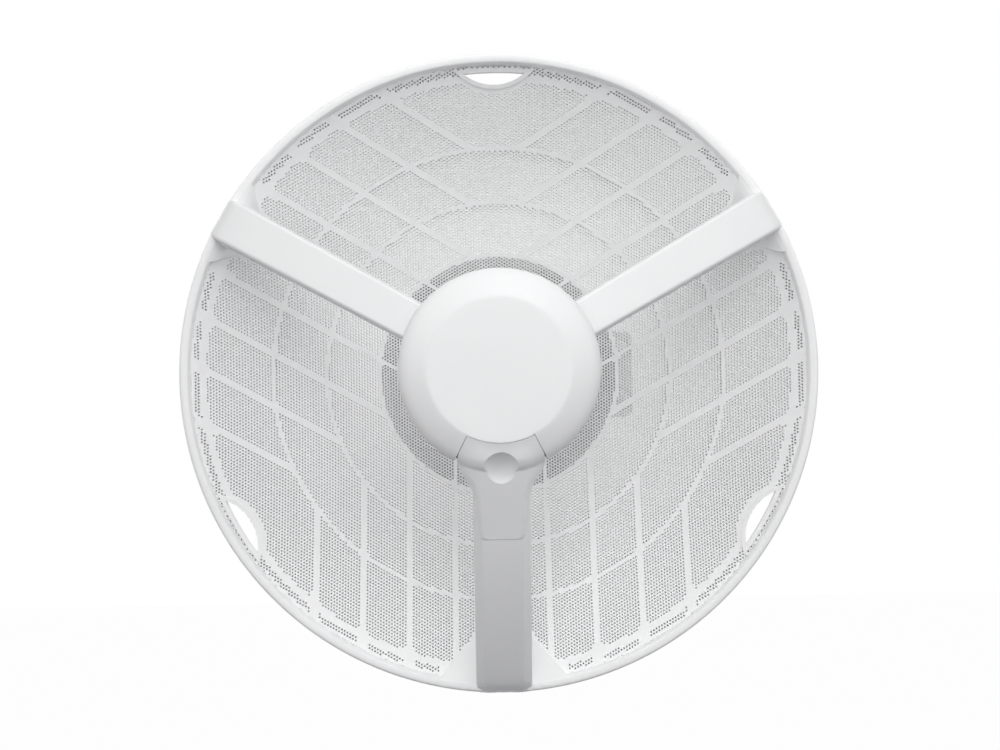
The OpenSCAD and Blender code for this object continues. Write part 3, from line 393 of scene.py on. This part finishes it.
def finished(name, radius=0.0, segments=2, sharp=38):
    """Leaves edit mode with clean outward faces, rounds the sharp edges and shades the rest smooth."""
    bpy.ops.mesh.select_all(action="SELECT")
    bpy.ops.mesh.remove_doubles(threshold=merge_distance)
    bpy.ops.mesh.normals_make_consistent(inside=False)
    bpy.ops.object.mode_set(mode="OBJECT")
    piece = bpy.context.object
    piece.name = name
    if radius:
        modified(piece, "BEVEL", width=radius, segments=segments, angle_limit=math.radians(sharp))
    bpy.ops.object.shade_smooth_by_angle(angle=math.radians(sharp))
    if radius:
        modified(piece, "WEIGHTED_NORMAL", keep_sharp=True)
    return piece


def turned(name, outline, steps, start=0.0, sweep=360.0):
    """A closed outline of (radius, height) points spun about the beam, all round or through a sweep in degrees."""
    c, s = math.cos(math.radians(start)), math.sin(math.radians(start))
    traced([(r * c, r * s, z) for r, z in [*outline, outline[0]]])
    if sweep < 360:
        bpy.ops.mesh.edge_face_add()
    bpy.ops.mesh.spin(steps=steps, angle=-math.radians(sweep), center=(0, 0, 0), axis=(0, 0, 1))
    return finished(name)


def slab(name, outline, along):
    """A flat outline of points filled and drawn out along a vector."""
    traced([*outline, outline[0]])
    bpy.ops.mesh.edge_face_add()
    bpy.ops.mesh.extrude_region_move(TRANSFORM_OT_translate={"value": along})
    return finished(name)


def combined(piece, tool, operation="DIFFERENCE"):
    """Joins, cuts or trims a piece with a tool, which is used up."""
    alone(piece)
    modified(piece, "BOOLEAN", operation=operation, object=tool, solver="EXACT")
    bpy.data.objects.remove(tool)
    return piece


def joined(name, pieces):
    """Several solids as one object."""
    bpy.ops.object.select_all(action="DESELECT")
    for piece in pieces:
        piece.select_set(True)
    bpy.context.view_layer.objects.active = pieces[0]
    bpy.ops.object.join()
    pieces[0].name = name
    return pieces[0]


def arc(centre_r, centre_z, radius, first, last, count):
    """Points round part of a circle, angles in degrees."""
    angles = [math.radians(first + (last - first) * i / (count - 1)) for i in range(count)]
    return [(centre_r + radius * math.cos(a), centre_z + radius * math.sin(a)) for a in angles]


def lens(name, grow, low, high):
    """The lens shape of a grip opening as an upright solid: one round cutter trimmed by another."""
    bpy.ops.object.select_all(action="DESELECT")
    bpy.ops.mesh.primitive_cylinder_add(vertices=96, radius=grip_curve + grow, depth=high - low,
                                        location=(lens_centre, 0, (low + high) / 2))
    bpy.ops.object.transform_apply()
    inner = bpy.context.object
    bpy.ops.mesh.primitive_cylinder_add(vertices=360, radius=grip_outer + grow, depth=high - low + 0.01,
                                        location=(0, 0, (low + high) / 2))
    bpy.ops.object.transform_apply()
    inner.name = name
    return combined(inner, bpy.context.object, "INTERSECT")


def turned_about_beam(piece, angle):
    """Turns a piece, drawn along the first axis, to its place round the beam."""
    piece.data.transform(Matrix.Rotation(math.radians(angle), 4, "Z"))
    return piece


rim_outline = [
    (rim_foot, bowl(rim_foot)),
    *arc(rim_foot + 0.0022, rim_z - 0.0020, 0.0016, 165, 105, 5), (0.2038, rim_z), (0.2048, rim_z - 0.0001),
    *arc(rim_radius - 0.0018, rim_z - 0.0019, 0.0018, 78, 0, 6),
    (rim_radius, rim_z - 0.018), (rim_radius - 0.001, rim_z - 0.0188),
    (0.1944, bowl(0.1944) - 0.0088), (0.1932, bowl(0.1932) - 0.0078), (0.1930, bowl(0.1930) - 0.0012),
    (0.1942, bowl(0.1942) - 0.0012), (0.1946, bowl(0.1946) - 0.0066), (0.1998, bowl(0.1998) - 0.0066),
    (0.2001, bowl(0.2001) - 0.0006),
]
rim = turned("reflector_rim", rim_outline, steps=240)
for angle in grip_angles:
    combined(rim, turned_about_beam(lens("grip_cutter", 0.0016, 0.03, 0.11), angle))
seated(rim, sheet_white, "reflector_white", "reflector")

lip_low, lip_middle, lip_high = grip_outer - 0.016, 0.186, grip_outer + 0.0024
lips = []
for angle in grip_angles:
    lip = turned("grip_lip", [
        (lip_low, bowl(lip_low) - 0.0040), (lip_low, bowl(lip_low) + 0.0014),
        (lip_middle, bowl(lip_middle) + 0.0016), (lip_high, bowl(lip_high) + 0.0014),
        (lip_high, bowl(lip_high) - 0.0040), (lip_middle, bowl(lip_middle) - 0.0041),
    ], steps=24, start=-9, sweep=18)
    combined(lip, lens("lip_outside", 0.0024, 0.03, 0.11), "INTERSECT")
    combined(lip, lens("lip_inside", -0.0002, 0.02, 0.12))
    opened(lip)
    finished("grip_lip", 0.0005, 2, 50)
    lips.append(turned_about_beam(lip, angle))
seated(joined("reflector_grip_lips", lips), sheet_white, "reflector_white", "reflector")

rib_low, rib_high = -sheet_t - rib_depth, -0.0005     # a rib's edges, from the bowl's front face
rib_end = 0.1975
rib_steps = 14
ribs = []
for ring in ring_radii:
    inner, outer = ring - rib_half, ring + rib_half
    ribs.append(turned("ring_rib", [
        (inner, bowl(inner) + rib_high), (outer, bowl(outer) + rib_high),
        (outer, bowl(outer) + rib_low), (inner, bowl(inner) + rib_low),
    ], steps=180))
for angle in arm_angles:
    for side in (-1, 1):
        for offset, start in zip(rib_offsets, rib_starts):
            near = math.sqrt(max(start ** 2 - offset ** 2, 0))
            far = math.sqrt(rib_end ** 2 - offset ** 2)
            left, right = side * offset - rib_half, side * offset + rib_half
            traced([(near, left, rib_low), (near, left, rib_high), (near, right, rib_high),
                    (near, right, rib_low), (near, left, rib_low)])
            bpy.ops.mesh.edge_face_add()
            for step in range(rib_steps):
                bpy.ops.mesh.extrude_region_move(
                    TRANSFORM_OT_translate={"value": ((far - near) / rib_steps, 0, 0)})
            rib = finished("straight_rib")
            for vertex in rib.data.vertices:
                vertex.co.z += bowl(vertex.co.xy.length)
            ribs.append(turned_about_beam(rib, angle))
seated(joined("reflector_ribs", ribs), sheet_white, "reflector_white", "reflector")


# ---------------------------------------------------------------- shoulders beside the arms' feet
# Smooth ramps of the same moulding fill the corner between bowl and rim, and brace the seat of each arm.
# Each is a piece of a turned ring, trimmed to a plan that widens towards the rim.

shoulder_end = 0.2005     # radius at which they reach the rim
shoulder_rise = 0.0069    # above the bowl there
shoulders = []
for angle in arm_angles:
    first, half, reach = shoulder_from[angle], foot_half[angle], shoulder_reach[angle]
    section, plan = [], []
    for t in (0, 0.15, 0.3, 0.45, 0.6, 0.75, 0.9, 1.0):
        r = first + t * (shoulder_end - first)
        rise = t * t * (3 - 2 * t)     # 0 to 1 in a smooth curve
        section.append((r, bowl(r) + shoulder_rise * rise + 0.0003))
        plan.append((r, half + 0.0004 + reach * rise))
    section += [(0.2030, rim_z - 0.0004), (0.2040, rim_z - 0.0060),
                (0.1990, bowl(0.1990) - 0.0030), (first, bowl(first) - 0.0020)]
    ramp = turned("shoulder", section, steps=40, start=-14, sweep=28)
    plan.append((0.2070, half + reach * 1.35))
    plan = [(x, -y) for x, y in plan] + [(x, y) for x, y in reversed(plan)]
    combined(ramp, slab("shoulder_plan", [(x, y, 0.03) for x, y in plan], (0, 0, 0.08)), "INTERSECT")
    opened(ramp)
    finished("shoulder", 0.0012, 3, 30)
    shoulders.append(turned_about_beam(ramp, angle))
seated(joined("reflector_shoulders", shoulders), sheet_white, "reflector_white", "reflector")


# ---------------------------------------------------------------- side arms
# Two hollow channels of satin white plastic, open behind, with soft front edges.
# Each is screwed to the pod's lug at its root, and its foot hooks over the rim.

pod_radius = 0.0625
pod_front = 0.172
seam_z = pod_front - 0.022
housing_radius = pod_radius - 0.0015
root_x = housing_radius + 0.0003
foot_x = rim_radius - 0.0145
foot_z = bowl(skin_radius) - 0.0006
foot_top = rim_z + 0.0055
side_root_z = seam_z - 0.0012
cable_root_z = pod_front - 0.012
arm_depth = 0.012
arm_wall = 0.0022         # in front; the sides are a little thicker
arm_bow = 0.005           # at mid length; the cable arm bows more


def moulding(place):
    """Satin weatherproof plastic: fine moulded grain, a faint cloud in the tone and in the gloss."""
    grain = noise(place, 2300, 2, 0.6)
    cloud = noise(place, 22, 4)
    return {
        "Base Color": colour_between(cloud, (0.815, 0.820, 0.826), (0.850, 0.853, 0.856)),
        "Roughness": spread(noise(place, 90, 5), 0.34, 0.46),
        "Height": (grain, 0.000025),
    }


shell_white = finish_of("moulded white", {"Specular IOR Level": 0.45}, moulding)


def arm_front(x, root_z):
    """Height of an arm's bowed front face at a distance x from the beam."""
    t = (x - root_x) / (rim_radius - 0.004 - root_x)
    bow = arm_bow * (1.3 if root_z == cable_root_z else 1)
    return root_z + (foot_top - root_z) * t + 4 * bow * t * (1 - t)


def lofted(name, section, stations):
    """A closed (across, height) section drawn through stations of (x, height of the front, width factor)."""
    x, z, wide = stations[0]
    traced([(x, y * wide, z + h) for y, h in [*section, section[0]]])
    bpy.ops.mesh.edge_face_add()
    for (x0, z0, w0), (x1, z1, w1) in zip(stations, stations[1:]):
        bpy.ops.mesh.extrude_region_move(TRANSFORM_OT_translate={"value": (x1 - x0, 0, z1 - z0)})
        bpy.ops.transform.resize(value=(1, w1 / w0, 1))
    return finished(name)


def arm_section(half, corner, slope, depth):
    """Section of an arm: flat front, rounded corners, sides that spread a little towards the back."""
    left = [(-half, -depth), (-half + slope, -corner * 1.1)]
    left += arc(-half + slope + corner, -corner, corner, 175, 95, 5)
    return left + [(-y, h) for y, h in reversed(left)]


def arm(name, angle, root_z, section, root_width, foot_width, solid, extra_cuts=()):
    """An arm from its root at the pod to the foot that hooks over the rim. It is hollow beyond a solid first part."""
    half = max(y for y, h in section)

    def wide(x):
        return (root_width + (foot_width - root_width) * (x - root_x) / (rim_radius - root_x)) / (2 * half)

    over_rim = [(-0.0075, -0.0003, 1.0), (-0.0045, -0.0010, 0.99), (-0.0020, -0.0026, 0.965),
                (-0.0005, -0.0048, 0.93), (0.0005, -0.0080, 0.88), (0.0009, -0.0120, 0.85)]
    stations = [(x, arm_front(x, root_z), wide(x)) for x in np.linspace(root_x, foot_x, 13)]
    hook = []
    for past_rim, drop, narrow in over_rim:
        x = rim_radius + past_rim
        hook.append((x, arm_front(x, root_z) + drop, wide(x) * narrow))
    body = lofted(name, section, stations + hook)
    foot = [(y, h if h > -arm_depth * 0.99 else -0.030) for y, h in section]
    block = lofted(name, foot, [(foot_x, arm_front(foot_x, root_z), wide(foot_x)), *hook])
    combined(body, block, "UNION")
    inside = [(x, arm_front(x, root_z) - arm_wall, wide(x) / wide(root_x))
              for x in np.linspace(root_x + solid, foot_x - 0.002, 9)]
    room = [(-root_width / 2 + 0.0026, -0.020), (-root_width / 2 + 0.0034, 0), (root_width / 2 - 0.0034, 0),
            (root_width / 2 - 0.0026, -0.020)]
    combined(body, lofted("arm_hollow", room, inside))
    below = [(0.15, -0.04, foot_z), (0.25, -0.04, foot_z), (0.25, 0.04, foot_z), (0.15, 0.04, foot_z)]
    combined(body, slab("foot_trim", below, (0, 0, -0.06)))
    for tool in extra_cuts:
        combined(body, tool)
    opened(body)
    finished(name, 0.0003, 2, 45)
    return turned_about_beam(body, angle)


side_section = arm_section(0.0130, 0.0024, 0.0010, arm_depth)
for name, angle in (("left_arm", 150), ("right_arm", 30)):
    arm_piece = arm(f"{name}_shell", angle, side_root_z, side_section, 0.0260, 0.0305, 0.0150)
    seated(arm_piece, shell_white, "shell_white", name)


# ---------------------------------------------------------------- cable arm
# The lower arm is a wider channel with sloped sides. It leads the cable down from the pod, under the port cover,
# and lets it out through a notch in the foot.

cable_half = 0.0178       # half width at the back
cable_flat = 0.0122       # half width of the flat front
port_reach = 0.105        # distance of the port cover's end from the beam
cable_section = [(-cable_half, -arm_depth), (-cable_half + 0.0002, -0.0052),
                 *arc(-cable_half + 0.0017, -0.0047, 0.0015, 170, 130, 3),
                 *arc(-cable_flat + 0.0004, -0.0020, 0.0020, 130, 95, 4)]
cable_section += [(-y, h) for y, h in reversed(cable_section)]
seat = 0.0021             # depth of the seat under the port cover
cover_line = [(x, -0.030, arm_front(x, cable_root_z) - seat) for x in np.linspace(0.055, 0.110, 6)]
under_cover = slab("cover_seat", [*cover_line, (0.110, -0.030, 0.19), (0.055, -0.030, 0.19)], (0, 0.060, 0))
end = [(0.0500, 0.0300), (0.0990, 0.0300), (0.0990, 0.0152), (0.1021, 0.0148), (0.1040, 0.0139), (0.1049, 0.0127),
       (port_reach + 0.0002, 0.0113)]
end = [(x, -y, 0.10) for x, y in end] + [(x, y, 0.10) for x, y in reversed(end)]
combined(under_cover, slab("tongue_seat", end, (0, 0, 0.1)), "INTERSECT")
plug_way = slab("plug_way", [
    (0.05, -0.0138, 0.10), (0.101, -0.0138, 0.10), (0.101, -0.0138, 0.19), (0.05, -0.0138, 0.19),
], (0, 0.0276, 0))
outlet = slab("cable_notch", [
    (foot_x - 0.004, -0.0055, foot_z - 0.002), (0.215, -0.0055, foot_z - 0.002),
    (0.215, -0.0055, foot_z + 0.010), (foot_x - 0.004, -0.0055, foot_z + 0.010),
], (0, 0.011, 0))
cable_arm = arm("cable_arm_shell", 270, cable_root_z, cable_section, 0.0356, 0.0362, 0.0,
                (under_cover, plug_way, outlet))
seated(cable_arm, shell_white, "shell_white", "cable_arm")


# ---------------------------------------------------------------- pod front cover
# A smooth lid of the same plastic: flat face, soft shoulder, a bay cut out of the shoulder for the cable port.
# It is clamped on the rear housing by six screws from behind.

face_radius = 0.045
pod_wall = 0.0025
port_half = 27.3          # half angle of the bay, in degrees


def shoulder(r, wall=0.0):
    """Height of the cover's front at a radius, less a wall thickness."""
    u = min(max((r - face_radius) / (pod_radius - wall - face_radius), 0.0), 1.0)
    return pod_front - 0.0078 * u - 0.0062 * (1 - math.sqrt(1 - u ** 5)) - wall


def shoulder_line(first, last, wall=0.0):
    """Twelve points down the cover's shoulder, closer together where it turns down."""
    spaced = [1 - (1 - i / 11) ** 2 for i in range(12)]
    return [(r, shoulder(r, wall)) for r in (first + (last - first) * t for t in spaced)]


outer = [(0.0001, pod_front), (face_radius - 0.004, pod_front), (face_radius - 0.0015, pod_front - 0.00003),
         *shoulder_line(face_radius + 0.0005, pod_radius)]
inner = [(pod_radius - pod_wall, seam_z), *reversed(shoulder_line(face_radius, pod_radius - pod_wall, pod_wall)),
         (0.0001, pod_front - pod_wall)]
cover = turned("pod_cover", [*outer, (pod_radius, seam_z), *inner], steps=144)
bay_wall = turned("bay_wall", [
    (face_radius - pod_wall, pod_front - 0.001), *shoulder_line(face_radius, pod_radius - 0.0004, 0.0004),
    (pod_radius - 0.0004, seam_z), (face_radius - pod_wall, seam_z),
], steps=24, start=270 - port_half - 3, sweep=2 * port_half + 6)
combined(cover, bay_wall, "UNION")
bay = turned("port_bay", [(face_radius, 0.10), (0.08, 0.10), (0.08, 0.19), (face_radius, 0.19)],
             steps=24, start=270 - port_half, sweep=2 * port_half)
combined(cover, bay)
opened(cover)
finished("pod_front_cover_shell", 0.00025, 2, 50)
seated(cover, shell_white, "shell_white", "pod_front_cover")


# ---------------------------------------------------------------- port cover
# A snap-on flap over the cable port: a sector of the pod's shoulder that runs down into a tongue on the cable arm.
# It is one moulded skin, bent from a grid over both shapes, and a round thumb dimple helps to push it off.

gap = 0.00025
flap_half = port_half - 0.3
flap_t = 0.0022
tongue_x = [0.0560, 0.0600, 0.0650, 0.0700, 0.0750, 0.0800, 0.0990, 0.1020, 0.1038, 0.1047, 0.1050]
tongue_half = [0.0286, 0.0262, 0.0228, 0.0200, 0.0180, 0.0166, 0.0150, 0.0146, 0.0138, 0.0126, 0.0112]
bpy.ops.object.select_all(action="DESELECT")
bpy.ops.mesh.primitive_grid_add(x_subdivisions=80, y_subdivisions=40, size=2)
flap = bpy.context.object
for vertex in flap.data.vertices:
    along, across = (vertex.co.x + 1) / 2, vertex.co.y
    reach = face_radius + gap + along * (port_reach - face_radius - gap)
    turn = math.radians(across * flap_half)
    # from a sector round the beam at the top to a straight tongue
    blend = float(smooth(0.0540, 0.0700, reach))
    x = reach * (math.cos(turn) * (1 - blend) + blend)
    y = reach * math.sin(turn) * (1 - blend) + across * float(np.interp(reach, tongue_x, tongue_half)) * blend
    r = math.hypot(x, y)
    # the tongue stands over the arm, most at its root, and its edges fall away
    lift = 0.0040 * min(max((port_reach - x) / 0.050, 0), 1) ** 1.5 - 0.0003
    edge_drop = 0.0014 * blend * float(smooth(0.8, 1.0, abs(across)))
    tongue = arm_front(x, cable_root_z) + lift - 0.0048 * float(smooth(0.012, 0.028, abs(y))) - edge_drop
    # the two shapes meet in a soft hollow, which fades out towards the sector's sides
    pod = shoulder(min(r, pod_radius)) - 12 * max(r - pod_radius, 0)
    fill = 0.0022 * max(1 - abs(pod - tongue) / 0.009, 0) ** 2 * float(smooth(0.0460, 0.0580, reach))
    fill_share = 1 - (1 - blend) * float(smooth(0.5, 1.0, abs(across)))
    vertex.co = (x, y, max(pod, tongue) + fill * fill_share - 0.00005)
front_count = len(flap.data.vertices)
modified(flap, "SOLIDIFY", thickness=flap_t, offset=-1, use_even_offset=False)
for vertex in flap.data.vertices[front_count:]:
    vertex.co.z = min(vertex.co.z, arm_front(vertex.co.x, cable_root_z) - 0.0019)
tilt = math.radians(27)
middle, outward = Vector((0.0606, 0, 0.1637)), Vector((math.sin(tilt), 0, math.cos(tilt)))
bpy.ops.object.select_all(action="DESELECT")
bpy.ops.mesh.primitive_uv_sphere_add(segments=72, ring_count=48, radius=1, location=middle + outward * 0.0090,
                                     rotation=(0, tilt, 0), scale=(0.0156, 0.0139, 0.0120))
bpy.ops.object.transform_apply()
combined(flap, bpy.context.object)
opened(flap)
finished("port_cover_flap", 0.00025, 2, 50)
turned_about_beam(flap, 270)
seated(flap, shell_white, "shell_white", "port_cover", body="port_cover")


# ---------------------------------------------------------------- finishes of the other parts
# The pod's inside, the bracket and the clamp keep their solids, and get the finishes that such parts have.


def powder_coat(place):
    """Light grey powder coat on a casting: orange peel over a slow unevenness of the casting itself."""
    peel = noise(place, 900, 3)
    swell = noise(place, 90, 3)
    return {
        "Base Color": colour_between(noise(place, 30, 5), (0.60, 0.61, 0.62), (0.67, 0.68, 0.69)),
        "Roughness": spread(noise(place, 200, 4), 0.42, 0.60),
        "Height": (peel * 0.7 + swell * 0.6, 0.00012),
    }


def metal(low, high, smooth_to, rough_to, streak):
    """Bare or plated metal with fine marks drawn out along one axis, and a cloudy tarnish."""
    def varying(place):
        drawn = place.node("ShaderNodeMapping", None, {"Vector": place, "Scale": streak})
        marks = noise(drawn, 1500, 4)
        tarnish = noise(place, 120, 5)
        return {
            "Base Color": colour_between(tarnish, low, high),
            "Roughness": spread(marks * 0.6 + tarnish * 0.4, smooth_to, rough_to),
            "Height": (marks, 0.00002),
        }
    return varying


def speckled(low, high, scale, depth, rough_low, rough_high):
    """Moulded nylon, rubber or ceramic: two close tones and a grain."""
    def varying(place):
        return {
            "Base Color": colour_between(noise(place, scale / 6, 4), low, high),
            "Roughness": spread(noise(place, scale / 3, 4), rough_low, rough_high),
            "Height": (noise(place, scale, 3), depth),
        }
    return varying


def solder_mask(place):
    """Green board: copper tracks a shade lighter under the mask, and small tinned pads."""
    flat = place.node("ShaderNodeMapping", None, {"Vector": place, "Rotation": (math.radians(90), 0, 0)})
    tracks = place.node("ShaderNodeTexBrick", {"offset": 0.3, "squash": 2.0}, {
        "Vector": flat, "Scale": 300, "Mortar Size": 0.03, "Brick Width": 1.1, "Row Height": 0.35}, 1)
    pads = place.node("ShaderNodeTexVoronoi", None, {"Vector": place, "Scale": 260}) > 0.62
    green = colour_between(tracks, (0.012, 0.095, 0.045), (0.03, 0.19, 0.09))
    return {
        "Base Color": colour_between(pads, green, (0.62, 0.62, 0.60)),
        "Metallic": pads * 0.9,
        "Roughness": spread(noise(place, 300, 3), 0.28, 0.42),
        "Height": (tracks + pads, 0.00004),
    }


window_white = speckled((0.80, 0.80, 0.80), (0.84, 0.84, 0.84), 1800, 0.00002, 0.30, 0.42)
zinc = metal((0.58, 0.59, 0.60), (0.70, 0.70, 0.69), 0.24, 0.44, (1, 0.15, 1))
aluminium = metal((0.72, 0.73, 0.74), (0.80, 0.80, 0.80), 0.26, 0.46, (0.2, 1, 1))
brass = metal((0.62, 0.46, 0.20), (0.74, 0.58, 0.30), 0.22, 0.42, (1, 1, 0.2))
nylon = speckled((0.020, 0.021, 0.023), (0.034, 0.035, 0.037), 1600, 0.00005, 0.42, 0.58)
rubber = speckled((0.016, 0.016, 0.017), (0.028, 0.028, 0.029), 2200, 0.00006, 0.70, 0.88)
ceramic = speckled((0.62, 0.56, 0.43), (0.70, 0.64, 0.50), 1500, 0.00002, 0.32, 0.50)
finishes = {
    "reflector_white": sheet_white,
    "shell_white": shell_white,
    "radome_white": finish_of("window white", {}, window_white),
    "cast_grey": finish_of("powder-coated grey", {}, powder_coat),
    "zinc_steel": finish_of("zinc plate", {"Metallic": 1.0}, zinc),
    "raw_aluminium": finish_of("bare aluminium", {"Metallic": 1.0}, aluminium),
    "brass": finish_of("turned brass", {"Metallic": 1.0}, brass),
    "black_nylon": finish_of("black nylon", {}, nylon),
    "black_rubber": finish_of("black rubber", {}, rubber),
    "ceramic_patch": finish_of("silvered ceramic", {}, ceramic),
    "board_green": finish_of("solder mask", {"Coat Weight": 0.3}, solder_mask),
}
slot_of = {part["node"]: part["material_slot"] for part in frame["record"]["subparts"]}
for node, part in frame["nodes"].items():
    for material_slot in part.material_slots:
        material_slot.material = finishes[slot_of[node]]


# ---------------------------------------------------------------- floor, light and camera
# A pale studio: a large soft lamp above and in front, a small one near the pod, weaker ones beside, below and
# behind. The floor and the room look white to the camera, and light the part only as a grey room would.

floor_z = -0.62


def seen_directly(tree):
    """Over zero for the rays that show the background: from the camera, off a gloss or through a window. The others
    light the part."""
    ray = tree.nodes.new("ShaderNodeLightPath")
    return sum((Field(tree, ray.outputs[f"Is {kind} Ray"]) for kind in ("Glossy", "Transmission")),
               Field(tree, ray.outputs["Is Camera Ray"]))


bpy.ops.object.select_all(action="DESELECT")
bpy.ops.mesh.primitive_plane_add(size=12, location=(0, 0, floor_z))
bpy.ops.object.transform_apply()
floor = bpy.context.object
floor.name = "studio_floor"
floor_paint = bpy.data.materials.new("studio floor")
floor_paint.use_nodes = True
tree = floor_paint.node_tree
seen = seen_directly(tree)
diffuse = seen.node("ShaderNodeBsdfDiffuse", None, {"Color": (0.25, 0.25, 0.26, 1)})
white = seen.node("ShaderNodeEmission", None, {"Color": (1, 1, 1, 1), "Strength": 1.0})
mixed = seen.node("ShaderNodeMixShader", None, {0: seen * 0.985, 1: diffuse, 2: white})
tree.links.new(mixed.socket, tree.nodes["Material Output"].inputs["Surface"])
floor.data.materials.append(floor_paint)

world = bpy.data.worlds.new("studio")
bpy.context.scene.world = world
world.use_nodes = True
tree = world.node_tree
direction = Field(tree, tree.nodes.new("ShaderNodeTexCoord").outputs["Generated"])
height = direction.node("ShaderNodeSeparateXYZ", None, {"Vector": direction}, 2)
level = spread(height, 0.16, 0.72)
seen = seen_directly(tree)
lit = direction.node("ShaderNodeBackground", None, {"Color": (1, 1, 1, 1), "Strength": level})
plain = direction.node("ShaderNodeBackground", None, {"Color": (1, 1, 1, 1), "Strength": 1.0})
both = direction.node("ShaderNodeMixShader", None, {0: seen, 1: lit, 2: plain})
tree.links.new(both.socket, tree.nodes["World Output"].inputs["Surface"])

lamps = [
    ("key", (0.50, -2.10, 1.38), 2.0, 17),
    ("near", (-0.06, -0.80, 0.31), 0.4, 0.95),
    ("low", (-0.3, -2.6, -0.5), 1.6, 9.8),
    ("left", (-2.1, -1.6, 0.9), 1.6, 11.5),
    ("right", (2.2, -1.4, 1.0), 1.6, 12),
    ("back", (0.5, 2.2, 1.4), 2.0, 14),
]
for name, where, size, power in lamps:
    lamp = bpy.data.lights.new(name, "AREA")
    lamp.size, lamp.energy = size, power
    holder = bpy.data.objects.new(name, lamp)
    holder.location = where
    holder.rotation_euler = (Vector((beam_x, -0.15, 0)) - Vector(where)).to_track_quat("-Z", "Y").to_euler()
    bpy.context.collection.objects.link(holder)

camera_data = bpy.data.cameras.new("camera")
camera = bpy.data.objects.new("camera", camera_data)
bpy.context.collection.objects.link(camera)
camera_data.lens, camera_data.sensor_width = 83.85, 36
stand_off = 1.503
rim_y = vertex_y - rim_z
camera.location = (beam_x + stand_off * math.sin(math.radians(-0.3)), rim_y - stand_off,
                   -stand_off * math.tan(math.radians(1.2)))
upright = (Vector((beam_x, rim_y, 0)) - camera.location).to_track_quat("-Z", "Y").to_matrix().to_4x4()
camera.rotation_euler = (upright @ Matrix.Rotation(math.radians(-1), 4, "Z")).to_euler()
camera_data.shift_x, camera_data.shift_y = 0.001, -0.003
bpy.context.scene.camera = camera
bpy.context.scene.view_settings.view_transform = "Standard"
